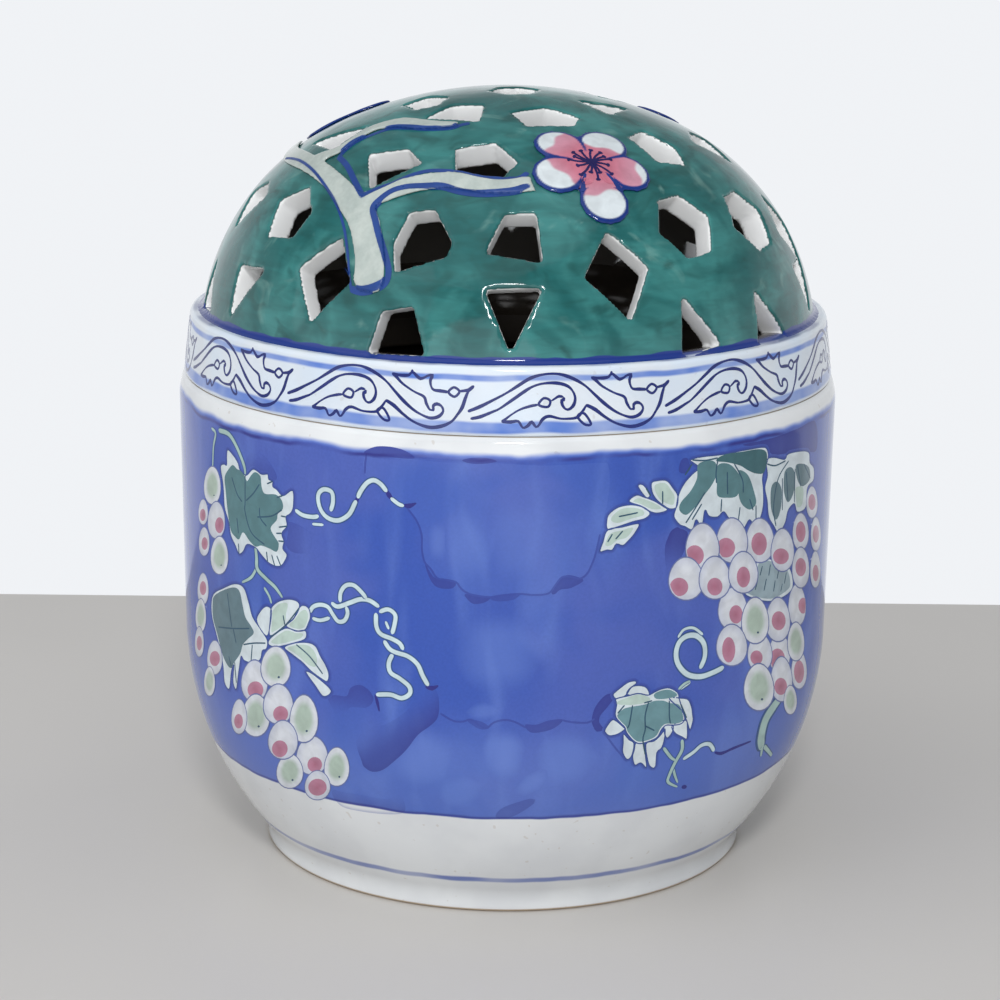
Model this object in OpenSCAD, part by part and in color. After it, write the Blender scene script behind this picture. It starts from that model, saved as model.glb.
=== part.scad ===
// Porcelain potpourri jar with a pierced dome lid.
// Millimetres, +Z up, origin at the centre of the foot ring's underside, front towards -Y.

/* [Jar] */
// Height of the jar from the table to its rim
jar_h = 93.5; // [80:0.5:110]
// Largest radius of the jar, just below the shoulder
jar_r = 63; // [58:0.5:70]
// Radius of the wall where the rounded lower body begins
belly_r = 62.5; // [57:0.5:69]
// Radius of the arc that rounds the lower body
bowl_r = 62; // [54:0.5:66]
// Height of the centre of that arc above the table
bowl_z = 44.5; // [42:0.5:50]
// Thickness of the jar's wall
jar_wall = 5; // [3:0.5:7]
// Thickness of the jar's floor
floor_t = 5; // [3:0.5:8]
// How far the shoulder draws in towards the rim
shoulder_in = 1; // [0.5:0.1:2]
// Height over which the shoulder draws in
shoulder_drop = 4.5; // [3:0.5:7]
// Rounding of the rim's outer edge
rim_round = 0.6; // [0.2:0.1:1]

/* [Foot ring] */
// Outer radius of the foot ring
foot_r = 47; // [42:0.5:49]
// Width of the foot ring
foot_w = 5; // [3:0.5:8]
// Depth of the recess inside the foot ring
foot_recess = 4; // [2:0.5:6]
// Radius of the cove between the foot ring and the body
foot_cove = 6; // [3:0.5:7]

/* [Lid band] */
// Height of the white band from the seam to the ledge
band_h = 12; // [8:0.5:18]
// How far the band leans in from bottom to top
band_lean = 1.2; // [0:0.1:3]
// Rounding of the band's lower edge
band_round = 0.6; // [0.2:0.1:1.5]
// Rounding of the ledge's outer edge
ledge_round = 1; // [0.4:0.1:2]
// Width of the ledge on which the dome stands
ledge_w = 2.5; // [1.5:0.1:4]

/* [Locating flange] */
// How deep the flange reaches into the jar's mouth
flange_h = 6; // [3:0.5:10]
// Thickness of the flange
flange_t = 3.7; // [2:0.1:5]
// Radial clearance between the flange and the jar's mouth
flange_gap = 1; // [0.4:0.1:2]

/* [Dome] */
// Thickness of the dome's wall
dome_t = 5; // [3:0.5:7]
// Radius of the dome's side arc
side_r = 46; // [36:1:54]
// Angle by which the dome's side leans in at the ledge
side_lean = 9; // [0:1:20]
// Slope at which the flatter crown takes over from the side arc
crown_slope = 24; // [14:1:32]

/* [Piercing] */
// Width and height of a plain pierced hole, of which every hole has its own share
hole_size = 10; // [7:0.5:11]

/* [Relief] */
// How far the branch and the blossoms stand out from the dome
relief = 0.6; // [0.4:0.1:1.5]
// Radius of one petal
petal_r = 4.8; // [4:0.1:5.4]
// Distance of a petal's centre from the middle of its blossom
petal_reach = 7.2; // [6:0.1:8]
// Width of the branch's trunk, of which every limb has its own share
limb_size = 6; // [4.5:0.1:7]

/* [Hidden] */
$fn = 96;

// How far a cutting shape reaches past the surface that it cuts
over = 2;

// Jar
bowl_x = belly_r - bowl_r;
mouth_r = jar_r - jar_wall;
rim_r = jar_r - shoulder_in;
shoulder_r = (shoulder_in ^ 2 + shoulder_drop ^ 2) / (2 * shoulder_in);
floor_z = foot_recess + floor_t;
inner_bowl_r = bowl_r - jar_wall;

// Cove between the foot ring and the bowl: a circle that touches both from outside
cove_x = foot_r + foot_cove;
cove_z = bowl_z - sqrt((bowl_r + foot_cove) ^ 2 - (cove_x - bowl_x) ^ 2);
cove_share = foot_cove / (bowl_r + foot_cove);
cove_end = [cove_x + (bowl_x - cove_x) * cove_share, cove_z + (bowl_z - cove_z) * cove_share];

// Lid
seat_z = jar_h;
band_r = rim_r;
ledge_z = seat_z + band_h;
band_top_r = band_r - band_lean;
dome_r = band_top_r - ledge_w;
flange_r = mouth_r - flange_gap;
bore_r = flange_r - flange_t;

// Dome: a side arc about (side_x, side_z) and a flatter crown about (0, crown_z)
side_x = dome_r - side_r * cos(side_lean);
side_z = ledge_z - side_r * sin(side_lean);
crown_r = side_r + side_x / sin(crown_slope);
crown_z = side_z - (crown_r - side_r) * cos(crown_slope);
crown_el = 90 - crown_slope;

// Pierced holes: shape, azimuth from the front to the right, slope of the dome there,
// shares of hole_size in width and height, turn
LOWER_ROW = [
    ["trapezoid", -20, 15, 1.05, 0.85, 6],
    ["point_down", 1, 18.5, 1, 1.15, 0],
    ["point_up", 36, 16, 0.9, 1.05, 2],
    ["point_up", 55, 15, 0.95, 1.05, 2],
    ["point_down", 77, 17, 0.9, 1, 0],
    ["trapezoid", 98, 15, 1, 0.85, 0],
    ["point_up", 117, 15, 0.9, 1, 0],
    ["trapezoid", 133, 14, 0.95, 0.8, 4],
    ["point_up", 151, 15, 0.9, 1, 6],
    ["trapezoid", 168, 15, 1, 0.85, -4],
    ["point_down", 190, 18, 0.95, 1.1, 0],
    ["point_up", 214, 15, 0.95, 1, 0],
    ["trapezoid", 238, 15, 1, 0.85, 0],
    ["point_down", 261, 18, 0.9, 1, 0],
    ["point_up", 283, 16, 0.9, 1, 0],
    ["point_left", 302, 18, 0.95, 1.05, 0]
];
DIAMOND_ROW = [
    ["diamond", -37, 25, 1.25, 1.6, -4],
    ["diamond", 21, 28, 1.25, 1.65, 8],
    ["diamond", 80, 31, 1.15, 1.5, 4],
    ["diamond", 126, 29, 1.15, 1.5, -4],
    ["diamond", 179, 29, 1.15, 1.5, 4],
    ["diamond", 226, 29, 1.15, 1.5, -4]
];
MIDDLE_ROW = [
    ["shield", -17.5, 36, 1.05, 1.25, 0],
    ["trapezoid", 1.5, 38, 1, 0.95, -6],
    ["hexagon", 40, 38.5, 1.3, 1.25, 0],
    ["hexagon", 62, 37, 1.3, 1.2, 0],
    ["pentagon", 102, 38, 1.1, 1.2, 8],
    ["hexagon", 145, 37, 1.25, 1.2, 0],
    ["shield", 163, 41, 1, 1.1, 0],
    ["hexagon", 202, 38, 1.25, 1.2, 0],
    ["pentagon", 250, 38, 1.1, 1.2, 8],
    ["kite", 283, 37, 1.2, 1, 10],
    ["pentagon", 306, 39, 1.1, 1.1, 14]
];
UPPER_ROW = [
    ["kite", -34, 55, 1.25, 1.1, 0],
    ["pentagon", -7, 60, 1.15, 1, 0],
    ["pentagon", 51, 62, 0.9, 1.1, -10],
    ["kite", 82, 57, 1.1, 0.95, 0],
    ["kite", 163, 59, 1.05, 1, 0],
    ["pentagon", 186, 57, 1.1, 1, 0],
    ["kite", 211, 58, 1.1, 1, 0],
    ["point_left", 291, 63, 1.15, 0.85, 180]
];
CROWN_ROW = [
    ["trapezoid", -28, 75, 1.1, 0.8, 6],
    ["pentagon", 18, 74, 1.2, 0.9, 0],
    ["point_up", 65, 76, 0.9, 0.75, 0],
    ["pentagon", 112, 76, 1, 0.8, 0],
    ["point_up", 158, 75, 1, 0.8, 0],
    ["pentagon", 197, 75, 1, 0.8, 0],
    ["point_up", 236, 77, 1, 0.7, 0],
    ["pentagon", 298, 77, 0.9, 0.75, 0],
    ["hexagon", 10, 87, 0.9, 0.8, 0]
];
HOLES = concat(LOWER_ROW, DIAMOND_ROW, MIDDLE_ROW, UPPER_ROW, CROWN_ROW);

// Limbs of the branch: azimuth, slope of the dome and share of limb_size in width at each bend
TRUNK = [
    [-26.4, 22.6, 0.45],
    [-26.4, 23.6, 0.85],
    [-26.6, 26, 1.05],
    [-28, 32, 1],
    [-32, 39.5, 1],
    [-38, 44, 0.85],
    [-46, 48.2, 0.7],
    [-57, 51.2, 0.68],
    [-70, 52.2, 0.7],
    [-84, 51.8, 0.65],
    [-96, 53, 0.45]
];
TWIG = [[-36, 43, 0.75], [-25, 49.5, 0.72], [-15, 52, 0.7], [-3, 50.8, 0.7], [6, 51.5, 0.6]];
UPPER_LIMB = [
    [-62, 53.5, 0.6],
    [-56.5, 57.5, 0.5],
    [-55.5, 62, 0.45],
    [-55, 67, 0.5],
    [-47, 69.4, 0.65],
    [-38, 69.6, 0.65],
    [-29, 69.9, 0.5],
    [-21, 70.6, 0.3]
];
LIMBS = [TRUNK, TWIG, UPPER_LIMB];
// Direction in which the branch is laid on the dome
branch_az = -34;
branch_el = 52;

// Smooth steps between one bend of a limb and the next
bend_steps = 4;

// Middles of the blossoms: azimuth, slope of the dome, turn
BLOSSOMS = [[22.3, 57.3, 177], [-117, 60, 54], [128, 57, 40]];
// Share of petal_reach at which each petal of a blossom lies
PETALS = [1.28, 0.9, 0.95, 1, 1];
// Flat sides that round a petal
petal_sides = 12;

// Direction square to the dome at an azimuth and slope
function normal_at(az, el) = [sin(az) * cos(el), -cos(az) * cos(el), sin(el)];
// Level direction along the dome, to the right
function right_at(az) = [cos(az), sin(az), 0];
// Direction up the dome
function up_at(az, el) = [-sin(az) * sin(el), cos(az) * sin(el), cos(el)];
// Point of the dome's outer face
function dome_point(az, el) = el > crown_el
    ? [0, 0, crown_z] + crown_r * normal_at(az, el)
    : [side_x * sin(az), -side_x * cos(az), side_z] + side_r * normal_at(az, el);
// The same point seen along the direction in which the branch is laid
function seen(p) = [p * right_at(branch_az), p * up_at(branch_az, branch_el)];

// Outlines of the pierced holes, one wide and one high
function hole_outline(shape) =
    shape == "diamond" ? [[-0.5, 0.05], [0.05, 0.5], [0.48, 0.02], [0, -0.5]] :
    shape == "point_down" ? [[-0.5, 0.46], [0.5, 0.5], [-0.06, -0.5]] :
    shape == "point_left" ? [[-0.5, 0.44], [0.5, 0.5], [-0.36, -0.5]] :
    shape == "point_up" ? [[-0.5, -0.5], [0.5, -0.44], [-0.28, 0.5]] :
    shape == "trapezoid" ? [[-0.5, -0.42], [0.5, -0.5], [0.3, 0.5], [-0.24, 0.42]] :
    shape == "pentagon" ? [[-0.4, -0.42], [0.3, -0.5], [0.5, -0.05], [0.1, 0.5], [-0.5, 0.3]] :
    shape == "shield" ? [[-0.38, -0.5], [0.46, -0.22], [0.5, 0], [0.08, 0.5], [-0.34, 0.44], [-0.5, -0.08]] :
    shape == "kite" ? [[-0.5, 0.3], [0.1, 0.5], [0.5, 0.2], [-0.05, -0.5]] :
    [[-0.5, -0.05], [-0.25, 0.45], [0.15, 0.5], [0.5, 0.1], [0.25, -0.45], [-0.2, -0.5]];

// Stands its children on the dome, their Z square to it, their Y up the dome
module on_dome(az, el) {
    translate(dome_point(az, el))
        rotate([0, 0, az])
            rotate([90 - el, 0, 0])
                children();
}

// Half outline of the dome above the ledge, drawn in from the outer face by inset
module dome_half(inset) {
    reach = crown_z + crown_r;
    intersection() {
        union() {
            translate([side_x, side_z]) circle(side_r - inset, $fn = 180);
            intersection() {
                translate([0, crown_z]) circle(crown_r - inset, $fn = 180);
                polygon([
                    [0, crown_z],
                    [2 * reach * cos(crown_el), crown_z + 2 * reach * sin(crown_el)],
                    [0, crown_z + 2 * reach]
                ]);
            }
        }
        translate([0, ledge_z]) square(2 * reach);
    }
}

// Half outline of the jar's outside, with a solid inside
module jar_half() {
    difference() {
        union() {
            // Rounded lower body
            intersection() {
                translate([bowl_x, bowl_z]) circle(bowl_r, $fn = 180);
                translate([0, cove_z]) square([jar_r + over, bowl_z - cove_z]);
            }
            // Wall
            polygon([
                [0, bowl_z],
                [belly_r, bowl_z],
                [jar_r, jar_h - shoulder_drop],
                [0, jar_h - shoulder_drop]
            ]);
            // Shoulder with a rounded rim edge
            intersection() {
                translate([jar_r - shoulder_r, jar_h - shoulder_drop]) circle(shoulder_r);
                translate([0, jar_h - shoulder_drop - over])
                    square([jar_r, shoulder_drop + over - rim_round]);
            }
            translate([0, jar_h - rim_round - over]) square([rim_r - rim_round, rim_round + over]);
            translate([rim_r - rim_round, jar_h - rim_round]) circle(rim_round);
            // Foot ring and its cove
            square([foot_r, cove_end.y]);
            difference() {
                polygon([[0, cove_z], [cove_x, cove_z], cove_end, [0, cove_end.y]]);
                translate([cove_x, cove_z]) circle(foot_cove);
            }
        }
        // Recess inside the foot ring
        translate([0, -over]) square([foot_r - foot_w, foot_recess + over]);
        // Nothing reaches across the axis
        translate([-2 * jar_r, -over]) square([2 * jar_r, 2 * jar_h]);
    }
}

// Half outline of the jar's hollow
module jar_hollow() {
    intersection() {
        union() {
            translate([bowl_x, bowl_z]) circle(inner_bowl_r, $fn = 180);
            polygon([
                [0, bowl_z],
                [belly_r - jar_wall, bowl_z],
                [mouth_r, jar_h - shoulder_drop],
                [mouth_r, jar_h + over],
                [0, jar_h + over]
            ]);
        }
        translate([0, floor_z]) square([jar_r, jar_h]);
    }
}

// Glazed jar: wall, rounded lower body, foot ring and open mouth
module jar() {
    color([0.31, 0.39, 0.71])
        rotate_extrude()
            difference() {
                jar_half();
                jar_hollow();
            }
}

// Half outline of the lid before it is pierced
module lid_half() {
    difference() {
        union() {
            dome_half(0);
            // Band with rounded edges
            polygon([
                [0, seat_z],
                [band_r - band_round, seat_z],
                [band_r, seat_z + band_round],
                [band_top_r, ledge_z - ledge_round],
                [band_top_r - ledge_round, ledge_z],
                [0, ledge_z]
            ]);
            translate([band_r - band_round, seat_z + band_round]) circle(band_round);
            translate([band_top_r - ledge_round, ledge_z - ledge_round]) circle(ledge_round);
            // Locating flange
            translate([0, seat_z - flange_h]) square([flange_r, flange_h]);
        }
        dome_half(dome_t);
        translate([0, seat_z - flange_h - over]) square([bore_r, ledge_z - seat_z + flange_h + over]);
        translate([-2 * band_r, 0]) square([2 * band_r, 2 * (crown_z + crown_r)]);
    }
}

// One pierced hole, cut square to the dome
module pierced_hole(hole) {
    on_dome(hole[1], hole[2])
        translate([0, 0, -dome_t - 2 * over])
            linear_extrude(dome_t + relief + 4 * over)
                rotate(hole[5])
                    scale(hole_size)
                        polygon([for (p = hole_outline(hole[0])) [p.x * hole[3], p.y * hole[4]]]);
}

// Glazed lid: band, ledge, pierced dome and flange
module lid() {
    color([0.24, 0.45, 0.41])
        difference() {
            rotate_extrude() lid_half();
            for (hole = HOLES) pierced_hole(hole);
        }
}

// The layer that lies on the dome's outer face, where the relief is laid
module relief_layer() {
    rotate_extrude()
        difference() {
            dome_half(-relief);
            dome_half(0);
        }
}

// Row between the bends b and c on a smooth line through a, b, c and d
function between(a, b, c, d, t) =
    b + t / 2 * (c - a + t * (2 * a - 5 * b + 4 * c - d + t * (3 * b - 3 * c + d - a)));
// Rows of a limb with smooth steps from bend to bend
function smooth(limb) =
    let (last = len(limb) - 1)
    [
        for (i = [0 : last - 1], k = [0 : bend_steps - 1])
            between(limb[max(i - 1, 0)], limb[i], limb[i + 1], limb[min(i + 2, last)], k / bend_steps),
        limb[last]
    ];
// Direction across a limb at one of its bends
function across(path, i) =
    let (along = path[min(i + 1, len(path) - 1)] - path[max(i - 1, 0)])
    [-along.y, along.x] / norm(along);

// Outline of a limb, up one side and down the other
module limb_outline(limb) {
    rows = smooth(limb);
    path = [for (row = rows) seen(dome_point(row[0], row[1]))];
    last = len(rows) - 1;
    half = [for (i = [0 : last]) across(path, i) * rows[i][2] * limb_size / 2];
    polygon(concat(
        [for (i = [0 : last]) path[i] + half[i]],
        [for (i = [last : -1 : 0]) path[i] - half[i]]
    ));
}

// Raised branch with its trunk, twig and upper limb
module prunus_branch() {
    laid = dome_point(branch_az, branch_el) * normal_at(branch_az, branch_el);
    color([0.78, 0.8, 0.74])
        intersection() {
            relief_layer();
            rotate([0, 0, branch_az])
                rotate([90 - branch_el, 0, 0])
                    translate([0, 0, laid - side_r / 2])
                        linear_extrude(side_r)
                            for (limb = LIMBS) limb_outline(limb);
        }
}

// One five-petal blossom, cut square to the dome
module blossom_outline(blossom) {
    on_dome(blossom[0], blossom[1])
        translate([0, 0, -dome_t])
            linear_extrude(dome_t + relief + over)
                rotate(blossom[2]) {
                    circle(petal_reach - petal_r / 2, $fn = petal_sides);
                    for (i = [0 : len(PETALS) - 1])
                        rotate(i * 360 / len(PETALS))
                            translate([0, petal_reach * PETALS[i]])
                                circle(petal_r, $fn = petal_sides);
                }
}

// Raised five-petal blossoms
module blossoms() {
    color([0.85, 0.55, 0.6])
        for (blossom = BLOSSOMS)
            intersection() {
                relief_layer();
                blossom_outline(blossom);
            }
}

jar();
lid();
prunus_branch();
blossoms();
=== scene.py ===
import math

import bmesh
import bpy
import numpy as np
from mathutils import Matrix, Vector
from mathutils.bvhtree import BVHTree
from mathutils.geometry import delaunay_2d_cdt


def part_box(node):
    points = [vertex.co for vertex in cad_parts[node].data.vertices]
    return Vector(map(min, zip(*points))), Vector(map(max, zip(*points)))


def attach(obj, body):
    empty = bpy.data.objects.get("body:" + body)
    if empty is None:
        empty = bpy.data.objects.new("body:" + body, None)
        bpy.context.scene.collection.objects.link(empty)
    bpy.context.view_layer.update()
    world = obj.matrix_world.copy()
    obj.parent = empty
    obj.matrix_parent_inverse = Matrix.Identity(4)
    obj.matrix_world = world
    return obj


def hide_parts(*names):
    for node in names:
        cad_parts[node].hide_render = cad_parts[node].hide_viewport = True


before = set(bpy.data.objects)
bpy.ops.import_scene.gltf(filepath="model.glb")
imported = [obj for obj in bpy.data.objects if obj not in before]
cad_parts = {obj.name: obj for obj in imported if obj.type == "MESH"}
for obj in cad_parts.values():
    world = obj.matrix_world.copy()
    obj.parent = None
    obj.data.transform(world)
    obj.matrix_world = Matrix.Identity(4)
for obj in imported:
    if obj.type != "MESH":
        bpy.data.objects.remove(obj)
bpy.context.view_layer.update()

# Sizes are in millimetres and turn into metres when a mesh is made
MM = 0.001

# Jar
jar_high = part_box("jar")[1]
JAR_H = jar_high[2] / MM
JAR_R = jar_high[0] / MM
BELLY_R = JAR_R - 0.5
BOWL_R = 62
BOWL_Z = 44.5
WALL = 5
FLOOR_Z = 9
SHOULDER_IN = 1
SHOULDER_DROP = 4.5
RIM_ROUND = 0.6
FOOT_R = 47
FOOT_W = 5
FOOT_RECESS = 4
FOOT_COVE = 6
FOOT_ROUND = 0.6
BOWL_X = BELLY_R - BOWL_R
RIM_R = JAR_R - SHOULDER_IN
MOUTH_R = JAR_R - WALL
WALL_TOP = JAR_H - SHOULDER_DROP
SHOULDER_R = (SHOULDER_IN ** 2 + SHOULDER_DROP ** 2) / (2 * SHOULDER_IN)
COVE_X = FOOT_R + FOOT_COVE
COVE_Z = BOWL_Z - math.sqrt((BOWL_R + FOOT_COVE) ** 2 - (COVE_X - BOWL_X) ** 2)

# Lid band and flange
BAND_H = 12
BAND_LEAN = 1.2
BAND_ROUND = 0.6
LEDGE_ROUND = 1
LEDGE_W = 2.5
FLANGE_H = 6
FLANGE_T = 3.7
FLANGE_GAP = 1
FLANGE_ROUND = 0.6
SEAT_Z = JAR_H
LEDGE_Z = SEAT_Z + BAND_H
BAND_TOP_R = RIM_R - BAND_LEAN
DOME_R = BAND_TOP_R - LEDGE_W
FLANGE_R = MOUTH_R - FLANGE_GAP
BORE_R = FLANGE_R - FLANGE_T

# Dome: a side arc and a flatter crown
DOME_T = 5
SIDE_R = 46
SIDE_LEAN = math.radians(9)
CROWN_SLOPE = math.radians(24)
SIDE_X = DOME_R - SIDE_R * math.cos(SIDE_LEAN)
SIDE_Z = LEDGE_Z - SIDE_R * math.sin(SIDE_LEAN)
CROWN_R = SIDE_R + SIDE_X / math.sin(CROWN_SLOPE)
CROWN_Z = SIDE_Z - (CROWN_R - SIDE_R) * math.cos(CROWN_SLOPE)
CROWN_EL = math.pi / 2 - CROWN_SLOPE
CROWN_START = SIDE_Z + SIDE_R * math.sin(CROWN_EL)
APEX_Z = CROWN_Z + CROWN_R

# Relief on the dome: blossoms by azimuth, slope and turn, and how far each petal's middle lies out
BRANCH_AZ = math.radians(-34)
BRANCH_EL = math.radians(52)
BLOSSOMS = [(22.3, 57.3, 177), (-117, 60, 54), (128, 57, 40)]
PETAL_SHARES = (1.28, 0.9, 0.95, 1, 1)
PETALS = len(PETAL_SHARES)
# How far out the rose reaches on each petal
PETAL_ROSE = (7.5, 8.8, 5.4, 8.3, 6.6)
PETAL_R = 4.8
PETAL_REACH = 7.2
BLOSSOM_SPAN = 20

# Fineness of the meshes: sides of the turned pieces, grain of those made from the CAD solids
TURNED_SIDES = 384
DOME_GRAIN = 0.55
RELIEF_GRAIN = 0.3

# Camera, fitted to the photograph's 1000 by 1000 pixels
FRAME_PX = 1000
FOCAL_PX = 2825.3
SENSOR = 36
EYE = Vector((0, -535.04, 202.1))
PITCH = 0.2478
YAW = -0.0023
ROLL = 0.0103

LOOK = Vector((math.sin(YAW) * math.cos(PITCH), math.cos(YAW) * math.cos(PITCH), -math.sin(PITCH)))
LEVEL = Vector((math.cos(YAW), -math.sin(YAW), 0))
CAM_RIGHT = math.cos(ROLL) * LEVEL + math.sin(ROLL) * LEVEL.cross(LOOK)
CAM_UP = CAM_RIGHT.cross(LOOK)


def srgb(red, green, blue):
    """Linear colour of an 8-bit display colour."""
    def linear(level):
        share = level / 255
        return share / 12.92 if share <= 0.04045 else ((share + 0.055) / 1.055) ** 2.4
    return (linear(red), linear(green), linear(blue), 1.0)


# Surfaces of the object


def jar_radius(z):
    """Radius of the jar's outside at a height."""
    if z > WALL_TOP:
        return JAR_R - SHOULDER_R + math.sqrt(max(SHOULDER_R ** 2 - (z - WALL_TOP) ** 2, 0))
    if z > BOWL_Z:
        return BELLY_R + (JAR_R - BELLY_R) * (z - BOWL_Z) / (WALL_TOP - BOWL_Z)
    return BOWL_X + math.sqrt(max(BOWL_R ** 2 - (z - BOWL_Z) ** 2, 0))


def band_radius(z):
    """Radius of the lid's white band at a height."""
    return RIM_R - BAND_LEAN * (z - SEAT_Z - BAND_ROUND) / (BAND_H - BAND_ROUND - LEDGE_ROUND)


def dome_radius(z):
    """Radius of the dome's outside at a height."""
    if z > CROWN_START:
        return math.sqrt(max(CROWN_R ** 2 - (z - CROWN_Z) ** 2, 0))
    return SIDE_X + math.sqrt(max(SIDE_R ** 2 - (z - SIDE_Z) ** 2, 0))


def dome_frame(az, el):
    """Point, right, up and outward directions on the dome at an azimuth and slope."""
    out = Vector((math.sin(az) * math.cos(el), -math.cos(az) * math.cos(el), math.sin(el)))
    right = Vector((math.cos(az), math.sin(az), 0))
    up = Vector((-math.sin(az) * math.sin(el), math.cos(az) * math.sin(el), math.cos(el)))
    if el > CROWN_EL:
        point = Vector((0, 0, CROWN_Z)) + CROWN_R * out
    else:
        point = Vector((SIDE_X * math.sin(az), -SIDE_X * math.cos(az), SIDE_Z)) + SIDE_R * out
    return point, right, up, out


def sight(x, y):
    """Direction from the eye through a pixel of the photograph."""
    across = (x - FRAME_PX / 2) / FOCAL_PX
    down = (y - FRAME_PX / 2) / FOCAL_PX
    return (LOOK + CAM_RIGHT * across - CAM_UP * down).normalized()


def turned_hit(x, y, radius_at):
    """Where the line of sight through a pixel meets a surface of revolution."""
    ray = sight(x, y)
    flat = ray.x ** 2 + ray.y ** 2
    nearest = -(EYE.x * ray.x + EYE.y * ray.y) / flat
    miss = EYE.x ** 2 + EYE.y ** 2 - flat * nearest ** 2
    distance = nearest
    radius = JAR_R
    rounds = 12
    for _ in range(rounds):
        distance = nearest - math.sqrt(max(radius ** 2 - miss, 0) / flat)
        radius = radius_at(EYE.z + distance * ray.z)
    return EYE + distance * ray


def dome_hit(x, y):
    """Where the line of sight through a pixel meets the dome."""
    ray = sight(x, y)
    near = 380
    step = 0.25
    steps = 1200
    for i in range(steps):
        point = EYE + (near + step * i) * ray
        if LEDGE_Z < point.z < APEX_Z and math.hypot(point.x, point.y) < dome_radius(point.z):
            return point
    return None


# Meshes


def linked(name, data):
    """Object of the scene for a mesh, lamp or camera."""
    obj = bpy.data.objects.new(name, data)
    bpy.context.scene.collection.objects.link(obj)
    return obj


def new_object(name, points, faces):
    """Smooth mesh object from points in millimetres."""
    mesh = bpy.data.meshes.new(name)
    mesh.from_pydata([tuple(c * MM for c in p) for p in points], [], faces)
    mesh.update()
    obj = linked(name, mesh)
    mesh.shade_smooth()
    return obj


def arc(centre, radius, start, end, steps):
    """Points of an arc in the (radius, height) plane, angles in degrees from level."""
    angles = [math.radians(start + (end - start) * i / steps) for i in range(steps + 1)]
    return [(centre[0] + radius * math.cos(a), centre[1] + radius * math.sin(a)) for a in angles]


def dense(profile, longest):
    """The same outline with points added so that no step is longer than asked."""
    out = [profile[0]]
    for a, b in zip(profile, profile[1:]):
        pieces = max(1, math.ceil(math.hypot(b[0] - a[0], b[1] - a[1]) / longest))
        for i in range(1, pieces + 1):
            out.append((a[0] + (b[0] - a[0]) * i / pieces, a[1] + (b[1] - a[1]) * i / pieces))
    return out


def lathe(name, profile, sides, closed):
    """Turns an outline of (radius, height) points about the vertical axis."""
    points = []
    rings = []
    for radius, z in profile:
        if radius < 1e-6:
            rings.append([len(points)] * sides)
            points.append((0, 0, z))
        else:
            rings.append(list(range(len(points), len(points) + sides)))
            for i in range(sides):
                turn = 2 * math.pi * i / sides
                points.append((radius * math.sin(turn), -radius * math.cos(turn), z))
    pairs = list(zip(rings, rings[1:]))
    if closed:
        pairs.append((rings[-1], rings[0]))
    faces = []
    for low, high in pairs:
        for i in range(sides):
            j = (i + 1) % sides
            corners = [low[i], low[j], high[j], high[i]]
            faces.append([c for k, c in enumerate(corners) if c != corners[k - 1]])
    obj = new_object(name, points, faces)
    bm = bmesh.new()
    bm.from_mesh(obj.data)
    bmesh.ops.recalc_face_normals(bm, faces=bm.faces)
    bm.to_mesh(obj.data)
    bm.free()
    return obj


def set_floats(obj, name, values):
    """One number for each point of a mesh, for its material to read."""
    layer = obj.data.attributes.new(name, "FLOAT", "POINT")
    layer.data.foreach_set("value", np.asarray(values, dtype=np.float32))


def set_colours(obj, name, colours):
    """One colour for each point of a mesh, for its material to read."""
    layer = obj.data.attributes.new(name, "FLOAT_COLOR", "POINT")
    layer.data.foreach_set("color", np.asarray(colours, dtype=np.float32).ravel())


def coordinates(mesh):
    """Points of a mesh in millimetres, one row each."""
    flat = np.empty(len(mesh.vertices) * 3)
    mesh.vertices.foreach_get("co", flat)
    return flat.reshape(-1, 3) / MM


def normals(mesh):
    """Outward directions at the points of a mesh, one row each."""
    flat = np.empty(len(mesh.vertices) * 3)
    mesh.vertices.foreach_get("normal", flat)
    return flat.reshape(-1, 3)


def put_coordinates(mesh, points):
    """Moves the points of a mesh to places in millimetres."""
    mesh.vertices.foreach_set("co", (points * MM).ravel())
    mesh.update()


def smoothed(mesh, rounds, factor=0.5):
    """Softens a mesh by drawing each point towards its neighbours."""
    points = coordinates(mesh)
    pairs = np.empty(len(mesh.edges) * 2, dtype=np.int64)
    mesh.edges.foreach_get("vertices", pairs)
    pairs = pairs.reshape(-1, 2)
    count = np.bincount(pairs.ravel(), minlength=len(points))[:, None]
    for _ in range(rounds):
        total = np.zeros_like(points)
        np.add.at(total, pairs[:, 0], points[pairs[:, 1]])
        np.add.at(total, pairs[:, 1], points[pairs[:, 0]])
        points += factor * (total / np.maximum(count, 1) - points)
    put_coordinates(mesh, points)


def snapped(mesh, source, above):
    """Draws the points above a height onto the surface of a CAD solid."""
    faces = [list(f.vertices) for f in source.data.polygons]
    tree = BVHTree.FromPolygons([v.co for v in source.data.vertices], faces)
    points = coordinates(mesh)
    for i in np.flatnonzero(points[:, 2] > above):
        points[i] = tree.find_nearest(Vector(points[i] * MM))[0]
        points[i] /= MM
    put_coordinates(mesh, points)


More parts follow.
